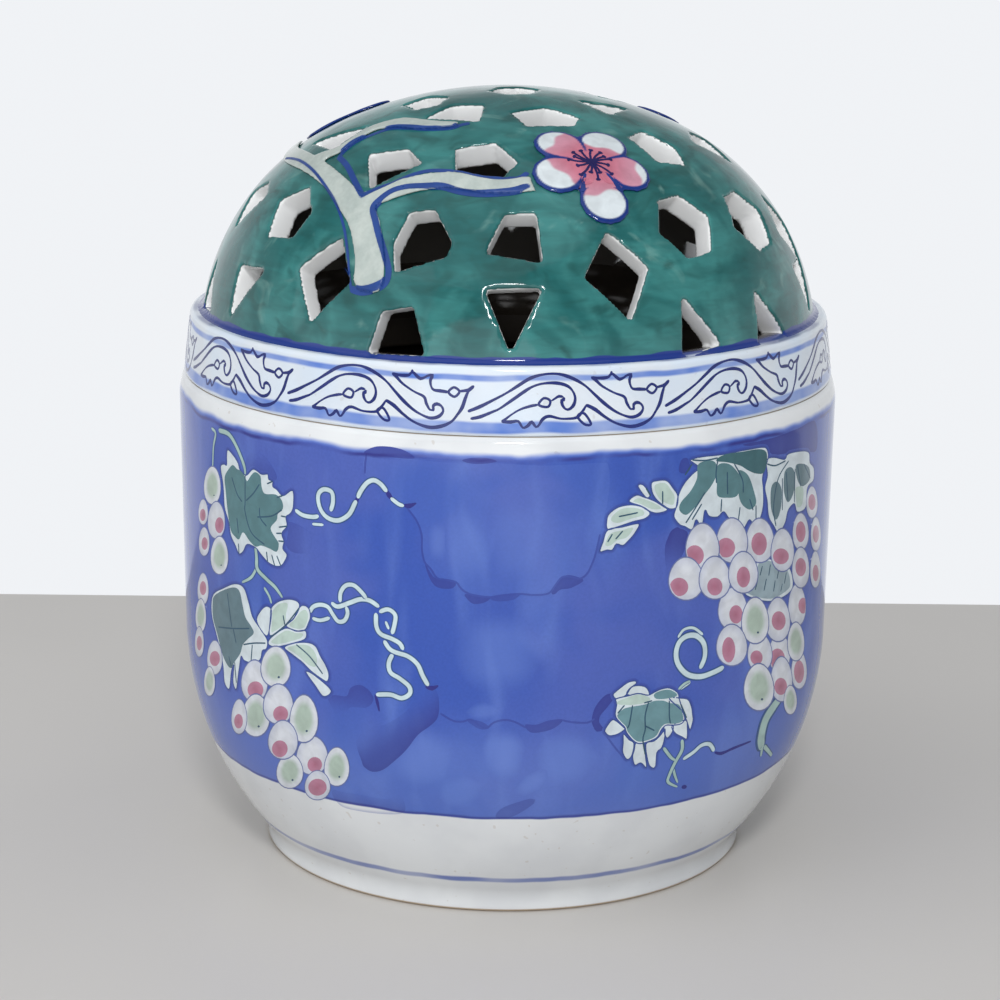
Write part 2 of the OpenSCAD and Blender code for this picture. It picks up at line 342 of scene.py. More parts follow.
def remeshed(name, source, voxel, cut_below=None):
    """Even, closed mesh of a CAD solid, if asked without what lies below a height."""
    bm = bmesh.new()
    bm.from_mesh(source.data)
    bmesh.ops.remove_doubles(bm, verts=bm.verts, dist=1e-7)
    if cut_below is not None:
        everything = bm.verts[:] + bm.edges[:] + bm.faces[:]
        bmesh.ops.bisect_plane(
            bm, geom=everything, plane_co=(0, 0, cut_below * MM), plane_no=(0, 0, 1), clear_inner=True
        )
        rims = [e for e in bm.edges if len(e.link_faces) == 1]
        bmesh.ops.bridge_loops(bm, edges=rims)
    rough = bpy.data.meshes.new(name + "_rough")
    bm.to_mesh(rough)
    bm.free()
    holder = linked(name + "_rough", rough)
    remesh = holder.modifiers.new("remesh", "REMESH")
    remesh.mode = "VOXEL"
    remesh.voxel_size = voxel * MM
    seen = holder.evaluated_get(bpy.context.evaluated_depsgraph_get())
    mesh = bpy.data.meshes.new_from_object(seen)
    mesh.name = name
    bpy.data.objects.remove(holder)
    bpy.data.meshes.remove(rough)
    obj = linked(name, mesh)
    mesh.materials.clear()
    mesh.shade_smooth()
    return obj


def smoothstep(low, high, x):
    """Goes softly from 0 at low to 1 at high, for a number or an array."""
    t = np.clip((x - low) / (high - low), 0, 1)
    return t * t * (3 - 2 * t)


# Materials


# How strongly glazes mirror, and how rough they are from smooth to dull places
GLOSS = 0.38
GLAZE_ROUGH = (0.07, 0.12)
DOME_ROUGH = (0.06, 0.13)
ENAMEL_ROUGH = (0.07, 0.14)
RELIEF_ROUGH = (0.245, 0.49)
BARE_ROUGH = 0.5
INSIDE_ROUGH = 0.3

# Waviness of the glazes
GLAZE_WAVE = 0.06
DOME_WAVE = 0.16

# Heights of what is painted round the jar and the band
FOOT_LINE_Z = 7.6
GROUND_LOW = 22.5
GROUND_TOP = 90.2
PALE_LOW = 30
PALE_HIGH = 46
LOW_STRIPE_Z = 95.2
HIGH_STRIPE_Z = 103.6


class Nodes:
    """Node tree of a material or of the world, built by short calls."""

    def __init__(self, owner):
        owner.use_nodes = True
        self.tree = owner.node_tree

    def wire(self, socket, value):
        """Links a socket to another node's output or sets its value."""
        if isinstance(value, bpy.types.NodeSocket):
            self.tree.links.new(value, socket)
        else:
            socket.default_value = value

    def add(self, kind, inputs, output=0, **settings):
        """Adds a node with its settings and inputs, and gives one of its outputs."""
        node = self.tree.nodes.new("ShaderNode" + kind)
        for name, value in settings.items():
            setattr(node, name, value)
        for name, value in inputs.items():
            self.wire(node.inputs[name], value)
        return node.outputs[output]

    def maths(self, operation, a, b=0.0):
        """Result of one operation on numbers or outputs."""
        return self.add("Math", {0: a, 1: b}, operation=operation)

    def plus(self, a, b):
        """Sum of two."""
        return self.maths("ADD", a, b)

    def times(self, a, b):
        """Product of two."""
        return self.maths("MULTIPLY", a, b)

    def larger(self, a, b):
        """The larger of two."""
        return self.maths("MAXIMUM", a, b)

    def step(self, low, high, x, bottom=0.0, top=1.0, way="SMOOTHSTEP"):
        """Goes from bottom where x is at low to top where it is at high."""
        inputs = {"Value": x, "From Min": low, "From Max": high, "To Min": bottom, "To Max": top}
        return self.add("MapRange", inputs, "Result", interpolation_type=way)


class Shader(Nodes):
    """Nodes of one material."""

    def __init__(self, name):
        self.material = bpy.data.materials.new(name)
        super().__init__(self.material)
        self.bsdf = self.tree.nodes["Principled BSDF"]
        self.bsdf.inputs["Specular IOR Level"].default_value = GLOSS
        self.place = self.add("TexCoord", {}, "Object")

    def height(self):
        """Height above the table in millimetres."""
        return self.times(self.add("SeparateXYZ", {0: self.place}, "Z"), 1 / MM)

    def stretched(self, sx, sy, sz):
        """Places that draw a pattern out where a factor is under 1."""
        return self.add("VectorMath", {0: self.place, 1: (sx, sy, sz)}, operation="MULTIPLY")

    def noise(self, size, detail=2.0, vector=None, warp=0.0):
        """Cloudy pattern whose lumps measure about size millimetres."""
        place = vector or self.place
        inputs = {"Vector": place, "Scale": 1 / (size * MM), "Detail": detail, "Distortion": warp}
        return self.add("TexNoise", inputs, "Fac")

    def uneven(self, size, low, high, detail=2.0):
        """Cloudy pattern between two values."""
        return self.step(0.2, 0.8, self.noise(size, detail), low, high)

    def waver(self, size, reach):
        """Unsteadiness of a brush line, up to reach to either side."""
        return self.step(0.3, 0.7, self.noise(size, 1), -reach, reach)

    def mix(self, share, a, b):
        """Colour between two."""
        return self.add("Mix", {"Factor": share, "A": a, "B": b}, "Result", data_type="RGBA")

    def shade(self, colour, amount):
        """Makes a colour darker or lighter, 1 leaving it as it is."""
        grey = self.add("CombineColor", {0: amount, 1: amount, 2: amount})
        inputs = {"Factor": 1.0, "A": colour, "B": grey}
        return self.add("Mix", inputs, "Result", data_type="RGBA", blend_type="MULTIPLY")

    def attribute(self, name, output="Fac"):
        """Number or colour that the mesh holds for each point."""
        return self.add("Attribute", {}, output, attribute_name=name)

    def band(self, x, middle, width, soft):
        """1 within a stripe about middle, 0 outside it, with soft edges."""
        away = self.maths("ABSOLUTE", self.maths("SUBTRACT", x, middle))
        return self.step(width / 2 - soft, width / 2 + soft, away, 1.0, 0.0)

    def bump(self, height, depth):
        """Bumps of a depth in millimetres."""
        inputs = {"Strength": 1.0, "Distance": depth * MM, "Height": height}
        self.wire(self.bsdf.inputs["Normal"], self.add("Bump", inputs))

    def finish(self, colour, roughness):
        """The material with its colour and roughness."""
        self.wire(self.bsdf.inputs["Base Color"], colour)
        self.wire(self.bsdf.inputs["Roughness"], roughness)
        return self.material


WHITE = srgb(224, 227, 229)
WHITE_DIM = srgb(214, 217, 220)
BAND_TINT = srgb(196, 220, 246)
# Painted light: the walls of the cut holes are whiter than the body's white
HOLE_WHITE_LIT = srgb(246, 247, 247)
CLAY = srgb(168, 150, 128)
# Painted shade: dark brown in place of the shadow inside the jar and the lid's bore
INSIDE_SHADE_DEEP = srgb(44, 39, 35)
INSIDE_SHADE_PALE = srgb(60, 54, 48)
# Painted shade: grey in place of the shadow under the dome
DOME_INSIDE_SHADE = srgb(100, 96, 92)
DOME_INSIDE_SHADE_PALE = srgb(122, 118, 112)
BLUE_LIGHT = srgb(106, 134, 208)
BLUE = srgb(55, 85, 174)
BLUE_VIOLET = srgb(76, 96, 178)
BLUE_EDGE = srgb(46, 48, 128)
FOOT_BLUE = srgb(92, 112, 178)
STRIPE = srgb(78, 118, 202)
LINE = srgb(30, 54, 130)
GREEN = srgb(28, 92, 92)
GREEN_LIGHT = srgb(56, 123, 121)
GREEN_DEEP = srgb(22, 70, 68)
GREEN_PALE = srgb(124, 164, 156)
BRANCH = srgb(182, 191, 186)
BRANCH_GREY = srgb(165, 176, 172)
PETAL_WHITE = srgb(206, 214, 218)
HEART = srgb(190, 110, 130)
BLUSH = srgb(194, 138, 156)
OUTLINE_BLUE = srgb(18, 48, 120)
BRANCH_BLUE = srgb(24, 62, 132)


def porcelain(s):
    """White body colour with faint clouds and hardly any kiln specks."""
    cloud = s.step(0.35, 0.7, s.noise(14, 3))
    specks = s.step(0.8, 0.83, s.noise(1.1, 0))
    return s.mix(s.times(specks, 0.25), s.mix(cloud, WHITE, WHITE_DIM), CLAY)


def glaze_bump(s, depth=GLAZE_WAVE):
    """Faint waviness that a glaze keeps after firing."""
    ripple = s.times(s.noise(2.2, 1), 0.15)
    s.bump(s.plus(s.noise(9, 1), ripple), depth)


def jar_glaze():
    """Blue brushed ground between two white zones, a painted shade of dark brown inside, bare clay at foot
    and rim.
    """
    s = Shader("jar_glaze")
    z = s.height()
    # Brushed blue ground: broad clouds, upright strokes, fine grain
    clouds = s.step(0.35, 0.65, s.noise(26, 2, warp=0.6))
    strokes = s.step(0.45, 0.8, s.noise(9, 2, s.stretched(1.0, 1.0, 0.3), 0.6))
    blue = s.mix(clouds, BLUE, BLUE_VIOLET)
    blue = s.mix(s.times(strokes, 0.45), blue, BLUE_LIGHT)
    blue = s.shade(blue, s.uneven(0.5, 0.96, 1.04, 1))
    # Paler wash in the lowest part
    blue = s.mix(s.step(PALE_LOW, PALE_HIGH, z, 0.36, 0.0), blue, BLUE_LIGHT)
    # Painted washes, lighter where the number is under 0 and darker where it is over 0; the broad light
    # stroke down the middle is partly a painted reflection
    wash = s.attribute("wash")
    blue = s.mix(s.larger(s.times(wash, -1.0), 0.0), blue, BLUE_LIGHT)
    blue = s.mix(s.larger(wash, 0.0), blue, BLUE_EDGE)
    # Upper edge of the ground: a broken dark line under a pale fringe where the brush overran
    wave = s.plus(s.step(0.25, 0.75, s.noise(16, 1), -0.5, 0.5), s.waver(5, 0.15))
    top = s.plus(z, wave)
    broken = s.step(0.4, 0.62, s.noise(10, 1), 0.15, 0.9)
    blue = s.mix(s.times(s.band(top, GROUND_TOP - 0.6, 0.6, 0.25), broken), blue, BLUE_EDGE)
    overlap = s.step(0.3, 0.4, wash)
    fringe = s.step(GROUND_TOP - 0.3, GROUND_TOP + 0.3, top, 0.0, 0.8)
    blue = s.mix(s.times(fringe, s.maths("SUBTRACT", 1.0, overlap)), blue, BLUE_LIGHT)
    # Lower edge with its dark line
    low = s.plus(z, s.waver(8, 0.15))
    blue = s.mix(s.times(s.band(low, GROUND_LOW + 0.3, 0.5, 0.25), 0.75), blue, BLUE_EDGE)
    ground = s.step(GROUND_LOW - 0.15, GROUND_LOW + 0.15, low)
    ground = s.times(ground, s.step(GROUND_TOP, GROUND_TOP + 1, top, 1.0, 0.0))
    # Dark overlaps may run past the edges
    colour = s.mix(s.larger(ground, overlap), porcelain(s), blue)
    # Line painted round the foot
    fade = s.step(0.25, 0.7, s.noise(12, 1), 0.55, 0.95)
    colour = s.mix(s.times(s.band(low, FOOT_LINE_Z, 1.1, 0.25), fade), colour, FOOT_BLUE)
    # Bare clay on the foot's underside and on the rim under the lid
    bare = s.larger(s.step(0.35, 0.7, z, 1.0, 0.0), s.step(JAR_H - 0.12, JAR_H - 0.03, z))
    colour = s.mix(bare, colour, CLAY)
    # Painted shade: the hollow is dark brown in place of the shadow inside the jar
    inside = s.attribute("inside")
    colour = s.mix(inside, colour, s.mix(s.noise(18, 3), INSIDE_SHADE_DEEP, INSIDE_SHADE_PALE))
    rough = s.plus(s.uneven(6, *GLAZE_ROUGH), s.times(bare, BARE_ROUGH))
    glaze_bump(s)
    return s.finish(colour, s.plus(rough, s.times(inside, INSIDE_ROUGH)))


def band_glaze():
    """White band of the lid with painted stripes."""
    s = Shader("band_glaze")
    z = s.height()
    colour = s.mix(s.step(0.3, 0.7, s.noise(9, 2), 0.2, 0.45), porcelain(s), BAND_TINT)
    drift = s.plus(z, s.waver(10, 0.15))
    wash = s.uneven(7, 0.6, 1.0)
    low = s.times(s.band(drift, LOW_STRIPE_Z, 2.0, 0.3), wash)
    high = s.times(s.band(drift, HIGH_STRIPE_Z, 1.0, 0.25), wash)
    colour = s.mix(s.larger(low, high), colour, STRIPE)
    # Dark line where the dome rises from the ledge
    ring = s.step(LEDGE_Z - 0.1, LEDGE_Z + 0.3, drift)
    colour = s.mix(s.times(ring, 0.95), colour, LINE)
    # Bare clay on the seat
    bare = s.step(SEAT_Z + 0.04, SEAT_Z + 0.14, z, 1.0, 0.0)
    colour = s.mix(bare, colour, CLAY)
    # Painted shade: the bore inside the band is dark brown in place of its shadow
    colour = s.mix(s.attribute("inside"), colour, INSIDE_SHADE_PALE)
    glaze_bump(s)
    return s.finish(colour, s.plus(s.uneven(6, *GLAZE_ROUGH), s.times(bare, BARE_ROUGH)))


def dome_glaze():
    """Green enamel brushed over the dome, white in the cut holes brightened as painted light, and a painted
    shade of grey inside.
    """
    s = Shader("dome_glaze")
    broad = s.step(0.35, 0.68, s.noise(12, 3, warp=0.8))
    dabs = s.step(0.5, 0.72, s.noise(6, 2, s.stretched(0.8, 0.8, 1.3), 0.8))
    pale = s.step(0.58, 0.8, s.noise(8, 3, warp=1.0))
    streaks = s.noise(2.4, 3, s.stretched(0.35, 0.35, 1.6), 0.5)
    green = s.mix(broad, GREEN, GREEN_LIGHT)
    green = s.mix(s.times(dabs, 0.6), green, GREEN_DEEP)
    green = s.mix(s.times(pale, 0.5), green, GREEN_PALE)
    green = s.shade(green, s.step(0.25, 0.75, streaks, 0.84, 1.12))
    # Dark line round the foot of the dome
    drift = s.plus(s.height(), s.waver(6, 0.2))
    green = s.mix(s.step(LEDGE_Z + 1.0, LEDGE_Z + 1.25, drift, 1.0, 0.0), green, LINE)
    # White walls of the holes, whiter than the body's white as painted light, with a deeper green along their
    # edges
    paint = s.attribute("paint")
    wall = s.shade(HOLE_WHITE_LIT, s.step(0.3, 0.7, s.noise(6, 2), 0.96, 1.0))
    colour = s.mix(s.step(0.35, 0.55, paint), wall, green)
    colour = s.mix(s.times(s.band(paint, 0.5, 0.4, 0.15), 0.7), colour, GREEN_DEEP)
    # Painted shade: the inner face of the dome is grey in place of the shadow under it
    inner = s.mix(s.noise(18, 3), DOME_INSIDE_SHADE, DOME_INSIDE_SHADE_PALE)
    colour = s.mix(s.attribute("inside"), colour, inner)
    glaze_bump(s, DOME_WAVE)
    return s.finish(colour, s.uneven(5, *DOME_ROUGH))


def branch_enamel():
    """Pale grey-white enamel with soft celadon shading, blue under the painted lines."""
    s = Shader("branch_enamel")
    streak = s.step(0.3, 0.75, s.noise(3.5, 3, s.stretched(1.0, 1.0, 0.6), 0.5))
    colour = s.mix(streak, BRANCH, BRANCH_GREY)
    colour = s.shade(colour, s.uneven(0.7, 0.96, 1.04, 1))
    colour = s.mix(s.attribute("line"), colour, BRANCH_BLUE)
    glaze_bump(s)
    return s.finish(colour, s.uneven(5, *ENAMEL_ROUGH))


def painted_enamel(name, rough=ENAMEL_ROUGH):
    """Enamel that takes its colour from the painted points, with a brushed grain."""
    s = Shader(name)
    grain = s.step(0.25, 0.75, s.noise(2.6, 3, warp=0.4), 0.88, 1.08)
    glaze_bump(s)
    return s.finish(s.shade(s.attribute("paint", "Color"), grain), s.uneven(5, *rough))


# Pieces


def build_jar():
    """Turned jar: foot ring, cove, bowl, wall, shoulder, rim and hollow."""
    foot_in = FOOT_R - FOOT_W
    cove_angle = math.degrees(math.atan2(BOWL_Z - COVE_Z, BOWL_X - COVE_X))
    inner_r = BOWL_R - WALL
    floor_angle = math.degrees(math.asin((BOWL_Z - FLOOR_Z) / inner_r))
    under = [(0, FOOT_RECESS)] + arc((foot_in - 1, FOOT_RECESS - 1), 1, 90, 0, 4)
    under += arc((foot_in + FOOT_ROUND, FOOT_ROUND), FOOT_ROUND, 180, 270, 5)
    under += arc((FOOT_R - FOOT_ROUND, FOOT_ROUND), FOOT_ROUND, 270, 360, 5)
    outside = arc((COVE_X, COVE_Z), FOOT_COVE, 180, cove_angle, 10)
    outside += arc((BOWL_X, BOWL_Z), BOWL_R, cove_angle - 180, 0, 48)[1:]
    outside += dense([(BELLY_R, BOWL_Z), (JAR_R, WALL_TOP)], 2)[1:]
    lip_angle = math.degrees(math.asin((SHOULDER_DROP - RIM_ROUND) / SHOULDER_R))
    outside += arc((JAR_R - SHOULDER_R, WALL_TOP), SHOULDER_R, 0, lip_angle, 8)[1:]
    rim = arc((RIM_R - RIM_ROUND, JAR_H - RIM_ROUND), RIM_ROUND, lip_angle, 90, 5)
    rim += arc((MOUTH_R + RIM_ROUND, JAR_H - RIM_ROUND), RIM_ROUND, 90, 180, 5)
    hollow = dense([(MOUTH_R, JAR_H - 1.5), (MOUTH_R, WALL_TOP), (BELLY_R - WALL, BOWL_Z)], 4)
    hollow += arc((BOWL_X, BOWL_Z), inner_r, 0, -floor_angle + 3, 20)[1:]
    floor_edge = BOWL_X + inner_r * math.cos(math.radians(floor_angle)) - 2
    hollow += [(floor_edge, FLOOR_Z), (20, FLOOR_Z), (0, FLOOR_Z)]
    obj = lathe("jar_body", under + outside + rim + hollow, TURNED_SIDES, False)
    points = coordinates(obj.data)
    # The outline starts with one point on the axis, and every later point is a ring
    hollow_start = 1 + (len(under) - 1 + len(outside) + len(rim)) * TURNED_SIDES
    # Points of the hollow, which the glaze gives a painted shade
    set_floats(obj, "inside", np.arange(len(points)) >= hollow_start)
    set_floats(obj, "wash", np.zeros(len(points)))
    return obj


def build_band():
    """Turned ring of the lid: flange, seat, leaning band, ledge and bore."""
    low = SEAT_Z - FLANGE_H
    outline = [(BORE_R, low + FLANGE_ROUND)]
    outline += arc((BORE_R + FLANGE_ROUND, low + FLANGE_ROUND), FLANGE_ROUND, 180, 270, 4)[1:]
    outline += arc((FLANGE_R - FLANGE_ROUND, low + FLANGE_ROUND), FLANGE_ROUND, 270, 360, 4)
    outline += dense([(FLANGE_R, low + 1), (FLANGE_R, SEAT_Z), (RIM_R - BAND_ROUND, SEAT_Z)], 2)[1:]
    outline += arc((RIM_R - BAND_ROUND, SEAT_Z + BAND_ROUND), BAND_ROUND, 270, 360, 6)[1:]
    outline += dense([(RIM_R, SEAT_Z + BAND_ROUND), (BAND_TOP_R, LEDGE_Z - LEDGE_ROUND)], 1)[1:]
    outline += arc((BAND_TOP_R - LEDGE_ROUND, LEDGE_Z - LEDGE_ROUND), LEDGE_ROUND, 0, 90, 8)[1:]
    # Soft fillet where the glaze gathers at the foot of the dome
    outline += [(DOME_R + 0.7, LEDGE_Z + 0.02), (DOME_R + 0.25, LEDGE_Z + 0.18)]
    outline += [(DOME_R - 0.4, LEDGE_Z + 0.5), (DOME_R - 2, LEDGE_Z + 0.5)]
    outline += [(BORE_R + 1, LEDGE_Z + 0.3), (BORE_R, LEDGE_Z - 0.4)]
    obj = lathe("lid_band", dense(outline, 4), TURNED_SIDES, True)
    points = coordinates(obj.data)
    # Points of the bore, which the glaze gives a painted shade
    set_floats(obj, "inside", np.hypot(points[:, 0], points[:, 1]) < FLANGE_R - 0.5)
    return obj


def build_dome():
    """Pierced dome with glaze-softened edges, exact on its outer and inner faces."""
    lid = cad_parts["lid"]
    obj = remeshed("lid_dome", lid, DOME_GRAIN, LEDGE_Z - 0.8)
    for _ in range(3):
        smoothed(obj.data, 1)
        snapped(obj.data, lid, LEDGE_Z + 0.5)
    smoothed(obj.data, 1, 0.35)
    points = coordinates(obj.data)
    facing = normals(obj.data)
    # Way out from the middle of the arc that each point belongs to
    radius = np.maximum(np.hypot(points[:, 0], points[:, 1]), 1e-9)
    on_crown = np.arctan2(points[:, 2] - CROWN_Z, radius) > CROWN_EL
    middle_r = np.where(on_crown, 0, SIDE_X)
    middle_z = np.where(on_crown, CROWN_Z, SIDE_Z)
    face_r = np.where(on_crown, CROWN_R, SIDE_R)
    along_r = radius - middle_r
    along_z = points[:, 2] - middle_z
    reach = np.hypot(along_r, along_z)
    away = np.stack([points[:, 0] / radius * along_r, points[:, 1] / radius * along_r, along_z], axis=1)
    out = away / reach[:, None]
    alike = np.sum(out * facing, axis=1)
    depth = face_r - reach
    # Points that look straight out or in go to the true outer or inner face
    near = 1
    outer = smoothstep(0.7, 0.95, alike) * (np.abs(depth) < near)
    inner = smoothstep(0.7, 0.95, -alike) * (np.abs(depth - DOME_T) < near)
    points += out * (depth * outer)[:, None]
    points += out * ((depth - DOME_T) * inner)[:, None]
    put_coordinates(obj.data, points)
    # Enamel covers the outermost half millimetre, and the painted shade inside starts well within the wall
    set_floats(obj, "paint", smoothstep(0.5, 0.1, depth))
    set_floats(obj, "inside", smoothstep(0.3, 0.7, -alike) * (depth > 3))
    return obj


def build_branch():
    """Raised branch, rounded as clay is under glaze."""
    obj = remeshed("branch_relief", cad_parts["prunus_branch"], RELIEF_GRAIN)
    smoothed(obj.data, 14)
    return obj


def blossom_colours(u, v, turn):
    """Colours of a blossom at flat places: white tips, rose hearts, blue round each petal."""
    axes = [math.radians(turn + 360 / PETALS * i) for i in range(PETALS)]
    along = np.stack([v * math.cos(a) - u * math.sin(a) for a in axes])
    aside = np.stack([u * math.cos(a) + v * math.sin(a) for a in axes])
    centres = PETAL_REACH * np.array(PETAL_SHARES)[:, None]
    inside = PETAL_R - np.hypot(along - centres, aside)
    petal = np.argmax(along, axis=0)
    row = np.arange(len(u))
    out, side = along[petal, row], aside[petal, row]
    # Rose from the heart to a wavy edge
    edge = np.array(PETAL_ROSE)[petal] + 0.35 * np.sin(1.3 * side) + 0.25 * side
    rose = smoothstep(0.35, -0.35, out - edge)[:, None]
    heart = smoothstep(3, 8, out)[:, None]
    rosy = np.array(HEART) * (1 - heart) + np.array(BLUSH) * heart
    colour = np.array(PETAL_WHITE) * (1 - rose) + rosy * rose
    # Blue along the rim, and between neighbours from near the middle outwards
    rim = smoothstep(1.15, 0.85, inside.max(axis=0)) * (out > 0.68 * centres[petal, 0])
    half = math.pi / PETALS
    seam = out * math.sin(half) - np.abs(side) * math.cos(half)
    reach = np.hypot(u, v)
    seam_line = smoothstep(0.12, -0.12, seam - 0.07 * reach + 0.05) * smoothstep(3, 3.6, reach)
    blue = np.maximum(rim, seam_line)[:, None]
    return colour * (1 - blue) + np.array(OUTLINE_BLUE) * blue


def build_blossoms():
    """Raised blossoms with petals that turn from white to rose."""
    obj = remeshed("blossom_relief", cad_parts["blossoms"], RELIEF_GRAIN)
    smoothed(obj.data, 10)
    points = coordinates(obj.data)
    colours = np.zeros((len(points), 4))
    for az, el, turn in BLOSSOMS:
        middle, right, up, _ = dome_frame(math.radians(az), math.radians(el))
        offset = points - np.array(middle)
        mine = np.linalg.norm(offset, axis=1) < BLOSSOM_SPAN
        colours[mine] = blossom_colours(offset[mine] @ np.array(right), offset[mine] @ np.array(up), turn)
    set_colours(obj, "paint", colours)
    return obj


jar = build_jar()
jar.data.materials.append(jar_glaze())
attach(jar, "jar")
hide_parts("jar")

lid_band = build_band()
lid_band.data.materials.append(band_glaze())
lid_dome = build_dome()
lid_dome.data.materials.append(dome_glaze())
for piece in (lid_band, lid_dome):
    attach(piece, "lid")
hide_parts("lid")

branch = build_branch()
branch.data.materials.append(branch_enamel())
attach(branch, "lid")
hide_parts("prunus_branch")

blossoms = build_blossoms()
blossoms.data.materials.append(painted_enamel("blossom_enamel"))
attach(blossoms, "lid")
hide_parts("blossoms")


# Painting on the surfaces


class TurnedFace:
    """A surface of revolution, flattened to distance round it and height."""

    def __init__(self, radius_at, radius):
        self.radius_at = radius_at
        self.radius = radius

    def flat(self, x, y):
        """Flat place of what the photograph shows at a pixel."""
        point = turned_hit(x, y, self.radius_at)
        return (math.atan2(point.x, -point.y) * self.radius, point.z)

    def place(self, u, v, lift, turn=0.0):
        """Point of space at a flat place, lifted off the surface."""
        az = u / self.radius + turn
        radius = self.radius_at(v) + lift
        return (radius * math.sin(az), -radius * math.cos(az), v)


class DomeFace:
    """The relief-covered dome, flattened by looking straight at one of its points."""

    # Distance looked from, depth at which a look goes through a hole, how the dome falls away sideways
    FAR = 25
    HOLE_DEPTH = 2
    STEEP_FALL = 0.02
    USUAL_FALL = 0.008

    def __init__(self, az, el, tree):
        self.middle, self.right, self.up, self.out = dome_frame(az, el)
        self.tree = tree

    def flat(self, x, y):
        """Flat place of what the photograph shows at a pixel."""
        offset = dome_hit(x, y) - self.middle
        return (offset.dot(self.right), offset.dot(self.up))

    def place(self, u, v, lift, turn=0.0):
        """Point of space at a flat place, lifted off the dome or the relief on it."""
        start = self.middle + u * self.right + v * self.up + self.FAR * self.out
        point = self.tree.ray_cast(start, -self.out)[0]
        spread = u * u + v * v
        deepest = self.FAR + self.STEEP_FALL * spread + self.HOLE_DEPTH
        if point is None or (start - point).dot(self.out) > deepest:
            point = start - self.out * (self.FAR + self.USUAL_FALL * spread)
        radius = math.hypot(point.x, point.y)
        if point.z > CROWN_START:
            away = point - Vector((0, 0, CROWN_Z))
        else:
            share = 1 - SIDE_X / max(radius, 1)
            away = Vector((point.x * share, point.y * share, point.z - SIDE_Z))
        return tuple(point + away.normalized() * lift)


class Sketch:
    """Points read from an enlarged part of the photograph, laid on a face of the object."""

    def __init__(self, corner, scale, face):
        self.corner = corner
        self.scale = scale
        self.face = face

    def flat(self, x, y):
        """Flat place of one sketch point."""
        return self.face.flat(self.corner[0] + x / self.scale, self.corner[1] + y / self.scale)

    def line(self, points):
        """Flat places of sketch points."""
        return [self.flat(p[0], p[1]) for p in points]


def curve(points, step, closed=False):
    """Smooth line through flat points: places, and how far along the given points each one is."""
    count = len(points)
    spans = count if closed else count - 1
    out = []
    for i in range(spans):
        if closed:
            a, b, c, d = (points[(i + k) % count] for k in (-1, 0, 1, 2))
        else:
            a, b, c, d = (points[min(max(i + k, 0), count - 1)] for k in (-1, 0, 1, 2))
        pieces = max(2, math.ceil(math.hypot(c[0] - b[0], c[1] - b[1]) / step))
        for k in range(pieces):
            t = k / pieces
            place = []
            for m in (0, 1):
                bend = 2 * a[m] - 5 * b[m] + 4 * c[m] - d[m]
                turn = -a[m] + 3 * b[m] - 3 * c[m] + d[m]
                place.append(b[m] + 0.5 * t * ((c[m] - a[m]) + t * (bend + t * turn)))
            out.append((place[0], place[1], i + t))
    if not closed:
        out.append((points[-1][0], points[-1][1], float(spans)))
    return out


def across(path, closed=False):
    """Unit directions to the left of a flat line at each of its points."""
    count = len(path)
    sides = []
    for i in range(count):
        before = path[i - 1] if closed or i > 0 else path[i]
        after = path[(i + 1) % count] if closed or i < count - 1 else path[i]
        du, dv = after[0] - before[0], after[1] - before[1]
        size = max(math.hypot(du, dv), 1e-9)
        sides.append((-dv / size, du / size))
    return sides


def mixed(a, b, share):
    """Colour or number between two."""
    if isinstance(a, tuple):
        return tuple(p + (q - p) * share for p, q in zip(a, b))
    return a + (b - a) * share


FRONT_AND_BACK = (0.0, math.pi)

# Layers of paint, each a little above the one below
LAYER = 0.006
WASH_LIFT = LAYER
EDGE_LIFT = 5 * LAYER
VINE_LIFT = 6 * LAYER
LEAF_LIFT = 7 * LAYER
TINT_LIFT = 8 * LAYER
VEIN_LIFT = 9 * LAYER
GRAPE_LIFT = 10 * LAYER
GRAPE_LAYERS = 6
SCROLL_LIFT = 0.02
LINE_LIFT = 0.07

# Smaller steps within a layer
STROKE_STEP = 0.0007
PATCH_STEP = 0.0005
LEAF_LINE_STEP = 0.0002
WASH_STEP = 0.002
STEM_STEP = 0.003
SPOT_STEP = 0.004
SEAM_STEP = 0.02
MIDDLE_STEP = 0.016

# How dark the halo round a leaf is in its middle and at its edge, and an overlap of washes
HALO_DARK = 0.55
HALO_EDGE = 0.1
OVERLAP_DARK = 0.45

# Share of its darkness that a patch keeps in the middle, and the width of its dark rim
PATCH_MIDDLE = 0.85
PATCH_RIM = 1.2

# Widths of painted lines
HALO_W = 1.1
OVERLAP_W = 0.35
LEAF_LINE_W = 0.24
VEIN_W = 0.28
TENDRIL_SWELL = 1.3
RING_W = 0.45
DOT_W = 0.95
STAMEN_W = 0.42
ANTHER_W = 1.1
MIDDLE_W = 1.4

# Cross-sections of a brush stroke: places from edge to edge, and how much of the edge's colour each has
PLAIN_ROWS = ((-1, 0), (0, 0), (1, 0))
SOFT_ROWS = ((-1, 1), (-0.6, 0.4), (0, 0), (0.6, 0.4), (1, 1))
WIDE_ROWS = tuple((k / 13, (k / 13) ** 2) for k in range(-13, 14))
LINED_ROWS = ((-1, 1), (-0.7, 1), (-0.58, 0), (0.58, 0), (0.7, 1), (1, 1))
DRAPED_ROWS = tuple((k / 4, 0) for k in range(-4, 5))


